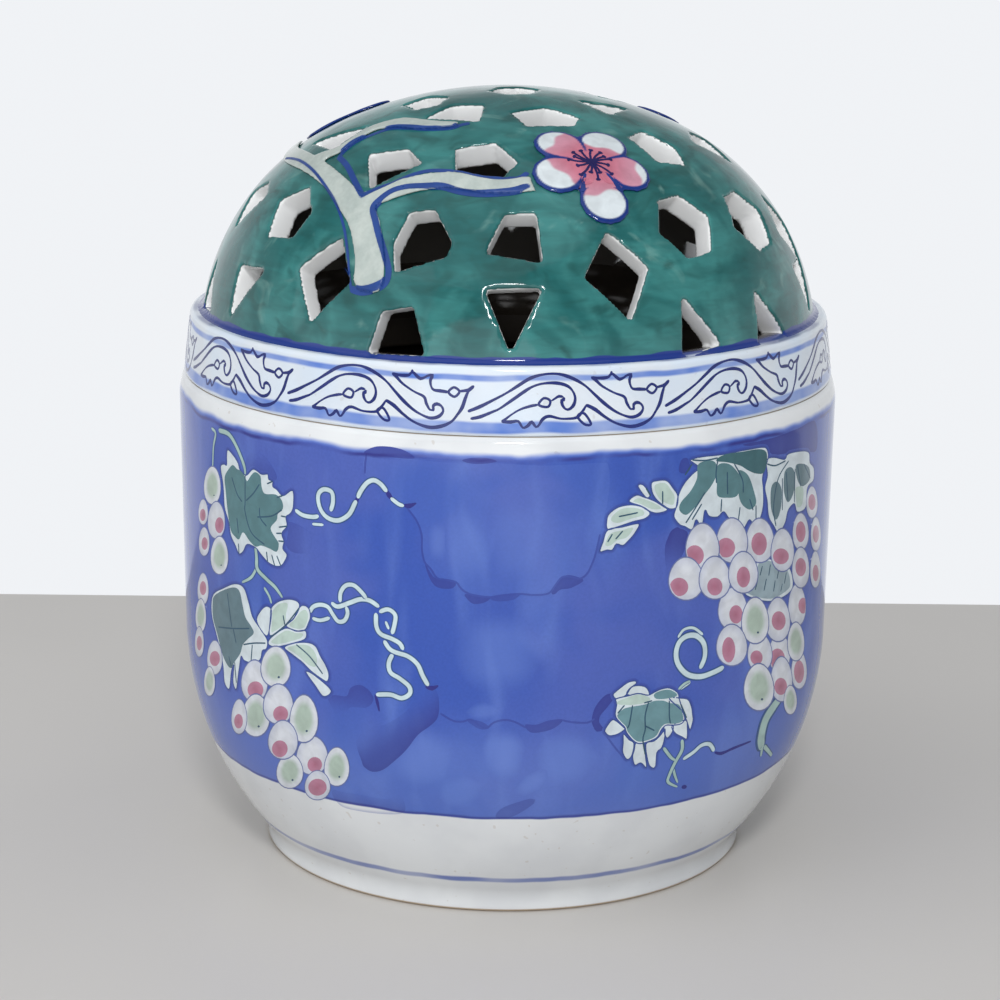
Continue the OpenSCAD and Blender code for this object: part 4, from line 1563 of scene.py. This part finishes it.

# Lighter strokes: sketch, points, widths, how light, what they fade into; the broad one down the middle is
# partly a painted reflection
LIGHT_STROKES_AND_SHEEN = [
    (GROUND, [(600, 560), (605, 680), (600, 800)], (2.5, 3.5, 2.5), -0.4, POOL_LIGHT),
    (GROUND, [(760, 470), (770, 700), (790, 940)], (7, 8, 5), -0.32, POOL_LIGHT),
    (GROUND, [(1050, 420), (1040, 650), (1050, 940)], (8, 10, 7), -0.32, POOL_LIGHT),
    # Broad stroke down the middle: a brush wash that is also a painted soft reflection
    (GROUND, [(930, 1050), (940, 1300), (960, 1560)], (10, 16, 14), -0.4, 0.0),
    (LOW_GROUND, [(790, 300), (795, 350), (800, 400)], (4, 7, 5), -0.35, 0.0),
    (LOW_GROUND, [(900, 420), (900, 530), (905, 700)], (5, 8, 5), -0.6, 0.0),
    (LOW_GROUND, [(960, 760), (1040, 700), (1110, 640)], (2, 4, 2), -0.5, 0.0),
    (LOW_GROUND, [(380, 700), (500, 580), (620, 440)], (6, 11, 6), -0.45, 0.0),
    (LOW_GROUND, [(1190, 740), (1215, 560), (1260, 430)], (6, 13, 6), -0.45, 0.0),
    (LOW_GROUND, [(660, 660), (690, 740), (740, 820)], (6, 10, 6), -0.4, 0.0),
]

# Edges where one wash of blue overlaps the next: sketch, points
WASH_EDGES = [
    (GROUND, POOL_EDGE),
    (GROUND, [(195, 300), (198, 240), (204, 190)]),
    (LOW_GROUND, [
        (590, 360), (650, 395), (700, 400), (740, 390), (790, 425), (820, 430), (850, 405), (900, 392),
        (950, 400), (1010, 430),
    ]),
    (LOW_GROUND, [(1185, 392), (1230, 402), (1310, 405), (1345, 385)]),
    (LOW_GROUND, [(1390, 450), (1440, 520), (1500, 592)]),
]

# Dark patches of the ground: sketch, outline, how dark, and the way to the crisp side of those that fade
DARK_PATCHES = [
    (GROUND, [
        (530, 800), (560, 850), (590, 885), (650, 890), (705, 910), (690, 940), (640, 945), (590, 930),
        (555, 880),
    ], 0.6, None),
    (GROUND, [(755, 975), (830, 985), (900, 990), (870, 1020), (810, 1030), (775, 1010)], 0.6, None),
    (GROUND, [(900, 995), (960, 980), (1060, 975), (1030, 1005), (960, 1015), (910, 1010)], 0.4, None),
    (GROUND, [
        (1240, 970), (1270, 920), (1320, 870), (1390, 880), (1420, 900), (1350, 940), (1290, 950),
        (1260, 975),
    ], 0.6, None),
    (GROUND, [(190, 185), (250, 150), (340, 150), (420, 172), (475, 212), (400, 214), (300, 200)], 0.6, None),
    (GROUND, [(740, 225), (800, 212), (880, 214), (935, 232), (850, 246), (780, 242)], 0.6, None),
    (LOW_GROUND, [
        (1005, 415), (1060, 415), (1120, 395), (1190, 390), (1150, 430), (1090, 450), (1030, 452),
    ], 0.55, None),
    (LOW_GROUND, [(720, 390), (790, 400), (830, 430), (790, 438), (745, 415)], 0.4, None),
    (LOW_GROUND, [
        (205, 595), (180, 520), (185, 460), (240, 430), (330, 410), (430, 340), (470, 270), (515, 235),
        (560, 238), (582, 290), (578, 375), (540, 420), (480, 465), (430, 530), (380, 580), (310, 635),
        (255, 645), (215, 620),
    ], 0.7, (0.6, -0.8)),
    (LOW_GROUND, [
        (40, 285), (70, 270), (130, 275), (150, 235), (195, 220), (240, 248), (262, 290), (230, 330),
        (150, 330), (115, 370), (85, 360), (60, 330),
    ], 0.55, (0.0, 1.0)),
    (LOW_GROUND, [(860, 862), (900, 820), (1030, 778), (1050, 798), (960, 858), (890, 876)], 0.4, None),
    (LOW_GROUND, [
        (60, 740), (110, 745), (200, 760), (330, 780), (390, 760), (400, 850), (150, 830), (80, 790),
    ], 0.35, (0.0, -1.0)),
    (UPPER_RIGHT, [
        (520, 560), (590, 540), (615, 600), (600, 670), (570, 740), (505, 860), (478, 790), (470, 680),
        (490, 610),
    ], 0.8, (0.4, 1.0)),
    (UPPER_RIGHT, [
        (960, 30), (1060, 8), (1170, -20), (1300, -70), (1412, -115), (1420, 60), (1330, 70), (1252, 80),
        (1150, 92), (1110, 52), (1040, 42),
    ], 0.75, None),
    (UPPER_RIGHT, [(560, 200), (570, 130), (605, 112), (640, 150), (610, 205)], 0.6, None),
    (LAST_LEAF, [
        (15, 480), (40, 380), (95, 300), (150, 255), (205, 250), (200, 300), (140, 380), (90, 440),
        (80, 500), (120, 560), (60, 580), (30, 540),
    ], 0.75, None),
    (UPPER_LEFT, [
        (700, 300), (790, 330), (880, 420), (950, 560), (900, 590), (800, 510), (720, 460), (660, 520),
        (640, 420),
    ], 0.35, (0.0, -1.0)),
    (UPPER_LEFT, [
        (1060, 1000), (1180, 1040), (1290, 1130), (1260, 1290), (1120, 1300), (1040, 1230), (1060, 1110),
    ], 0.35, (-1.0, 0.0)),
]
# Dark tails that the brush left: sketch, points, widths
TAILS = [
    (TENDRIL_VIEW, [(712, 252), (750, 256), (792, 238)], (0.5, 0.9, 0.2)),
    (TENDRIL_VIEW, [(408, 240), (418, 222), (430, 200)], (0.5, 0.8, 0.5)),
    (TENDRIL_VIEW, [(604, 160), (622, 190), (640, 214)], (0.6, 0.9, 0.6)),
    (TENDRIL_VIEW, [(850, 1390), (890, 1400), (930, 1384)], (0.5, 0.9, 0.3)),
    (TENDRIL_VIEW, [(535, 1440), (548, 1490), (560, 1545)], (0.4, 0.6, 0.2)),
    (LAST_LEAF, [(1085, 760), (1150, 768), (1280, 708)], (0.4, 0.7, 0.2)),
    (LAST_LEAF, [(800, 1058), (840, 1066)], (0.8, 0.8)),
    (LOWER_RIGHT, [(380, 1530), (470, 1490), (570, 1450)], (0.4, 0.6, 0.3)),
]


def smooth_outline(sketch, points):
    """Closed smooth line through sketch points."""
    return [p[:2] for p in curve(sketch.line(points), 0.6, True)]


def paint_washes(material):
    """Overlaps and darker and lighter strokes of the blue ground, the broad light one partly a painted
    reflection, under everything else.
    """
    paint = Paint("jar_washes", FRONT_AND_BACK)
    paint.fill(JAR_FACE, smooth_outline(GROUND, POOL), WASH_LIFT, POOL_LIGHT, grid=0.9)
    lift = WASH_LIFT + WASH_STEP
    for sketch, points, widths, light, under in LIGHT_STROKES_AND_SHEEN:
        paint.stroke(JAR_FACE, sketch.line(points), widths, lift, light, under, WIDE_ROWS, step=0.7)
        lift += STROKE_STEP
    for sketch, points, dark, crisp in DARK_PATCHES:
        outline = smooth_outline(sketch, points)
        paint.fill(JAR_FACE, outline, lift, dark * PATCH_MIDDLE, dark, PATCH_RIM, crisp=crisp)
        lift += PATCH_STEP
    for leaf in LEAVES:
        for body in leaf["bodies"]:
            around = leaf["sketch"].line(body)
            paint.stroke(JAR_FACE, around, HALO_W, EDGE_LIFT, HALO_DARK, HALO_EDGE, SOFT_ROWS, True, 0.6)
    for sketch, points in WASH_EDGES:
        paint.stroke(JAR_FACE, sketch.line(points), OVERLAP_W, EDGE_LIFT + WASH_STEP, OVERLAP_DARK, step=0.6)
    for sketch, points, widths in TAILS:
        paint.stroke(JAR_FACE, sketch.line(points), widths, EDGE_LIFT + WASH_STEP, 1.0)
    paint.build(material, "jar", "wash")


def paint_vines(material):
    """Stems, tendrils and leaves."""
    paint = Paint("jar_vines", FRONT_AND_BACK)
    for sketch, points, width in TENDRILS:
        wide = width * TENDRIL_SWELL
        paint.stroke(JAR_FACE, sketch.line(points), wide, VINE_LIFT, TENDRIL, TENDRIL_EDGE, LINED_ROWS)
    for sketch, points, widths in STEMS:
        lift = VINE_LIFT + STEM_STEP
        paint.stroke(JAR_FACE, sketch.line(points), widths, lift, STEM, TENDRIL_EDGE, LINED_ROWS)
    for leaf in LEAVES:
        sketch = leaf["sketch"]
        for i, body in enumerate(leaf["bodies"]):
            lift = LEAF_LIFT + PATCH_STEP * i
            around = sketch.line(body)
            paint.fill(JAR_FACE, smooth_outline(sketch, body), lift, LEAF_WHITE)
            paint.stroke(JAR_FACE, around, LEAF_LINE_W, lift + LEAF_LINE_STEP, LEAF_LINE, closed=True)
        for i, (colour, outline) in enumerate(leaf["tints"]):
            paint.fill(JAR_FACE, smooth_outline(sketch, outline), TINT_LIFT + PATCH_STEP * i, colour)
        for vein in leaf["veins"]:
            paint.stroke(JAR_FACE, sketch.line(vein), VEIN_W, VEIN_LIFT, VEIN)
    paint.build(material, "jar")


def paint_grapes(material):
    """Bunches of grapes over the leaves."""
    paint = Paint("jar_grapes", FRONT_AND_BACK)
    bunches = ((UPPER_LEFT, LEFT_EDGE_GRAPES), (LOWER_LEFT, LEFT_GRAPES), (LOWER_RIGHT, RIGHT_GRAPES))
    for sketch, bunch in bunches:
        for i, row in enumerate(bunch):
            grape(paint, sketch, GRAPE_LIFT + LAYER * (i % GRAPE_LAYERS), *row)
    paint.build(material, "jar")


# One repeat of the scroll on the band: lines with their widths, closed rings, dots
SCROLL_REPEATS = 11
SCROLL_LINES = [
    ([
        (-96, 388), (0, 350), (100, 300), (205, 245), (300, 185), (400, 125), (500, 97), (600, 92),
        (680, 110), (760, 145), (830, 190), (900, 255), (970, 320), (1050, 380), (1120, 415), (1190, 432),
        (1250, 410), (1278, 365), (1262, 328), (1230, 316), (1205, 332), (1205, 362),
    ], 0.62),
    ([
        (-75, 445), (0, 430), (100, 390), (150, 368), (250, 300), (350, 230), (420, 190), (500, 168),
        (600, 165), (680, 185), (725, 225), (746, 280), (735, 335), (700, 370), (670, 368), (645, 335),
        (642, 300), (660, 290),
    ], 0.6),
    ([(655, 275), (620, 268), (590, 285), (560, 305)], 0.5),
    ([(455, 335), (400, 345), (320, 370), (250, 410), (190, 455), (168, 467)], 0.5),
    ([
        (168, 467), (240, 470), (300, 465), (335, 515), (375, 500), (405, 470), (440, 510), (465, 490),
        (490, 450), (540, 425), (640, 445), (740, 440), (770, 425), (805, 385), (835, 335),
    ], 0.6),
    ([
        (830, 335), (900, 370), (980, 430), (1070, 480), (1180, 505), (1270, 485), (1340, 440), (1380, 380),
        (1410, 320), (1430, 240), (1447, 190), (1482, 142),
    ], 0.66),
    ([(1482, 142), (1450, 178), (1420, 188), (1385, 198)], 0.66),
    ([
        (1305, 214), (1250, 212), (1200, 210), (1180, 185), (1172, 140), (1185, 98), (1150, 105),
        (1130, 120), (1095, 135), (1060, 110), (1030, 88), (1010, 115), (970, 125), (920, 125), (872, 118),
    ], 0.6),
    ([
        (872, 118), (910, 145), (960, 190), (1050, 240), (1130, 272), (1150, 320), (1180, 368), (1205, 365),
    ], 0.55),
]
SCROLL_RINGS = [
    [(460, 335), (500, 284), (550, 304), (532, 352)],
    [(765, 428), (815, 402), (870, 485), (820, 488)],
    [(1308, 214), (1345, 172), (1385, 200), (1352, 244)],
]
SCROLL_DOTS = [(1205, 360), (658, 292), (1030, 88)]


def brushed(points, width):
    """Widths of a brush line that swells and thins as it goes."""
    return [width * (0.82 + 0.22 * math.sin(1.7 * i)) for i in range(len(points))]


def paint_scroll(material):
    """Leafy scroll that runs round the white band."""
    turns = [2 * math.pi * i / SCROLL_REPEATS for i in range(SCROLL_REPEATS)]
    paint = Paint("band_scroll", turns)
    for points, width in SCROLL_LINES:
        paint.stroke(BAND_FACE, SCROLL.line(points), brushed(points, width), SCROLL_LIFT, SCROLL_BLUE)
    for ring in SCROLL_RINGS:
        paint.stroke(BAND_FACE, SCROLL.line(ring), RING_W, SCROLL_LIFT, SCROLL_BLUE, closed=True, step=0.3)
    for x, y in SCROLL_DOTS:
        dot = SCROLL.line([(x - 10, y), (x + 10, y)])
        paint.stroke(BAND_FACE, dot, DOT_W, SCROLL_LIFT, SCROLL_BLUE, step=0.2)
    paint.build(material, "lid")


def relief_tree():
    """The dome and its relief as one surface to lay strokes on."""
    points = []
    faces = []
    for obj in (lid_dome, branch, blossoms):
        base = len(points)
        points += [Vector(p) for p in coordinates(obj.data)]
        faces += [[base + i for i in f.vertices] for f in obj.data.polygons]
    return BVHTree.FromPolygons(points, faces)


# Lines along the raised branch: points, width
BRANCH_LINES = [
    ([
        (470, 985), (540, 1002), (620, 985), (672, 945), (690, 880), (675, 800), (645, 700), (620, 600),
        (608, 525), (650, 470), (720, 425), (800, 402), (900, 395), (1000, 397), (1100, 420), (1200, 436),
        (1300, 436), (1420, 425), (1500, 402),
    ], 1.15),
    ([
        (545, 455), (600, 425), (680, 390), (760, 350), (830, 320), (920, 300), (1020, 296), (1120, 310),
        (1220, 335), (1330, 350), (1440, 340), (1500, 310),
    ], 0.9),
    ([(400, 216), (450, 270), (500, 370), (545, 455)], 1.1),
    ([
        (400, 218), (440, 175), (500, 130), (590, 88), (700, 52), (800, 50), (900, 56), (1000, 55),
        (1060, 48), (1110, 32), (1160, 20),
    ], 1.0),
    ([
        (100, 238), (180, 250), (260, 310), (330, 400), (390, 500), (430, 620), (450, 750), (460, 880),
        (472, 985),
    ], 0.5),
]
STAMEN_BLUE = srgb(20, 15, 82)
STAMENS = 15


def paint_branch(material, tree):
    """Blue outlines along the raised branch."""
    face = DomeFace(BRANCH_AZ, BRANCH_EL, tree)
    sketch = Sketch((270, 120), 5.807, face)
    paint = Paint("branch_lines")
    offset = coordinates(branch.data) - np.array(face.middle)
    seen = np.stack([offset @ np.array(face.right), offset @ np.array(face.up)], axis=1)
    under = np.zeros(len(seen))
    for points, width in BRANCH_LINES:
        places = sketch.line(points)
        paint.stroke(face, places, width, LINE_LIFT, BRANCH_BLUE, rows=DRAPED_ROWS, step=0.3)
        path = np.array([p[:2] for p in curve(places, 0.5)])
        for a, b in zip(path, path[1:]):
            share = np.clip((seen - a) @ (b - a) / max((b - a) @ (b - a), 1e-9), 0, 1)
            away = np.linalg.norm(seen - a - share[:, None] * (b - a), axis=1)
            under = np.maximum(under, smoothstep(width / 2 + 0.1, width / 2 - 0.15, away))
    # The relief itself is blue under its lines, so that none of it shows through them
    set_floats(branch, "line", under)
    paint.build(material, "lid")


def paint_blossoms(material, tree):
    """Rose and blue beside the first petal, and dark stamens, on the raised blossoms."""
    paint = Paint("blossom_lines")
    for az, el, turn in BLOSSOMS:
        face = DomeFace(math.radians(az), math.radians(el), tree)

        def spot(radius, angle):
            """Flat place at a radius and angle about the blossom's middle, 0 up the first petal."""
            way = math.radians(turn + angle)
            return (-radius * math.sin(way), radius * math.cos(way))

        for side in (-1, 1):
            gap = [spot(3.2, 20 * side), spot(4.8, 25 * side), spot(6, 27 * side)]
            paint.stroke(face, gap, (1.4, 2.2, 1.4), LINE_LIFT, HEART, rows=DRAPED_ROWS, step=0.3)
            seam = [spot(3.6, 34 * side), spot(5.5, 31 * side), spot(8, 27 * side)]
            lift = LINE_LIFT + SEAM_STEP
            paint.stroke(face, seam, (0.4, 0.7, 1.0), lift, OUTLINE_BLUE, rows=DRAPED_ROWS, step=0.3)
        for i in range(STAMENS):
            angle = 360 / STAMENS * i + 7 * math.sin(5 * i)
            reach = 3.6 + 1.0 * math.sin(3 * i + 1)
            line = [spot(0.3, angle), spot(reach * 0.6, angle + 5), spot(reach, angle)]
            paint.stroke(face, line, STAMEN_W, LINE_LIFT + LAYER, STAMEN_BLUE)
            tip = [spot(reach - 0.3, angle), spot(reach + 0.3, angle)]
            paint.stroke(face, tip, ANTHER_W, LINE_LIFT + 2 * LAYER, STAMEN_BLUE, step=0.2)
        middle = [spot(0.6, 0), spot(0.6, 180)]
        paint.stroke(face, middle, MIDDLE_W, LINE_LIFT + MIDDLE_STEP, STAMEN_BLUE, step=0.3)
    paint.build(material, "lid")


jar_paint = painted_enamel("jar_paint")
lid_paint = painted_enamel("lid_paint")
paint_washes(jar.data.materials[0])
paint_vines(jar_paint)
paint_grapes(jar_paint)
paint_scroll(lid_paint)
dome_tree = relief_tree()
relief_paint = painted_enamel("relief_paint", RELIEF_ROUGH)
paint_branch(relief_paint, dome_tree)
paint_blossoms(relief_paint, dome_tree)


# Stage, light and camera


TABLE = srgb(204, 201, 197)
TABLE_ROUGH = 0.38
TABLE_HALF = 1500
TABLE_FRONT = -900
TABLE_BACK = 160


def build_stage():
    """Pale table with faint clouds that ends a little behind the object."""
    corners = [(-TABLE_HALF, TABLE_FRONT, 0), (TABLE_HALF, TABLE_FRONT, 0)]
    corners += [(TABLE_HALF, TABLE_BACK, 0), (-TABLE_HALF, TABLE_BACK, 0)]
    floor = new_object("floor", corners, [(0, 1, 2, 3)])
    s = Shader("table_top")
    clouds = s.step(0.3, 0.7, s.noise(120, 2), 0.985, 1.015)
    floor.data.materials.append(s.finish(s.shade(TABLE, clouds), TABLE_ROUGH))


def area_light(name, place, aim, size, watts):
    """Soft round lamp at a place, turned towards a point, both in metres."""
    data = bpy.data.lights.new(name, "AREA")
    data.shape = "DISK"
    data.size = size
    data.energy = watts
    obj = linked(name, data)
    obj.location = place
    obj.rotation_euler = (Vector(aim) - Vector(place)).to_track_quat("-Z", "Y").to_euler()


# Lamps: name, place, aim, size and watts; the small one gives the sparkle
BODY_MIDDLE = (0, 0, 0.08)
FOOT_MIDDLE = (0, 0, 0.02)
LAMPS = [
    ("lamp_above", (-0.2, -0.25, 1.2), BODY_MIDDLE, 1.6, 3.4),
    ("lamp_front", (0.026, -0.85, 0.67), BODY_MIDDLE, 0.16, 3.9),
    ("lamp_window", (-0.9, -0.5, 0.6), BODY_MIDDLE, 1.2, 2.1),
    ("lamp_low", (-0.25, -1.5, 0.2), FOOT_MIDDLE, 1.2, 4.6),
]

# Surround: colour, how much it lights, how bright it looks level and high up, and where that changes
SURROUND = (0.95, 0.97, 1.0, 1.0)
SURROUND_LIGHT = 0.47
SURROUND_SEEN = 0.92
SURROUND_HIGH = 0.3
RISE_LOW = 0.12
RISE_HIGH = 0.4


def build_light():
    """Plain soft studio light from the lamps and a pale surround."""
    for lamp in LAMPS:
        area_light(*lamp)
    world = bpy.data.worlds.new("surround")
    nodes = Nodes(world)
    back = nodes.tree.nodes["Background"]
    back.inputs["Color"].default_value = SURROUND
    # The surround is white where it is seen or mirrored, and lights the object at a plain level
    seen = nodes.add("LightPath", {}, "Is Camera Ray")
    for ray in ("Is Glossy Ray", "Is Transmission Ray"):
        seen = nodes.larger(seen, nodes.add("LightPath", {}, ray))
    # High up it is darker, as a room is above a lit wall
    rise = nodes.add("SeparateXYZ", {0: nodes.add("TexCoord", {}, "Generated")}, "Z")
    bright = nodes.step(RISE_LOW, RISE_HIGH, rise, SURROUND_SEEN, SURROUND_HIGH, "LINEAR")
    nodes.wire(back.inputs["Strength"], nodes.step(0.0, 1.0, seen, SURROUND_LIGHT, bright, "LINEAR"))
    bpy.context.scene.world = world


def build_camera():
    """Camera at the photograph's angle."""
    data = bpy.data.cameras.new("camera")
    data.sensor_fit = "HORIZONTAL"
    data.sensor_width = SENSOR
    data.lens = FOCAL_PX / FRAME_PX * SENSOR
    data.clip_start = 0.01
    obj = linked("camera", data)
    turn = Matrix((CAM_RIGHT, CAM_UP, -LOOK)).transposed()
    obj.matrix_world = Matrix.Translation(EYE * MM) @ turn.to_4x4()
    bpy.context.scene.camera = obj


build_stage()
build_light()
build_camera()
bpy.context.scene.view_settings.view_transform = "Standard"
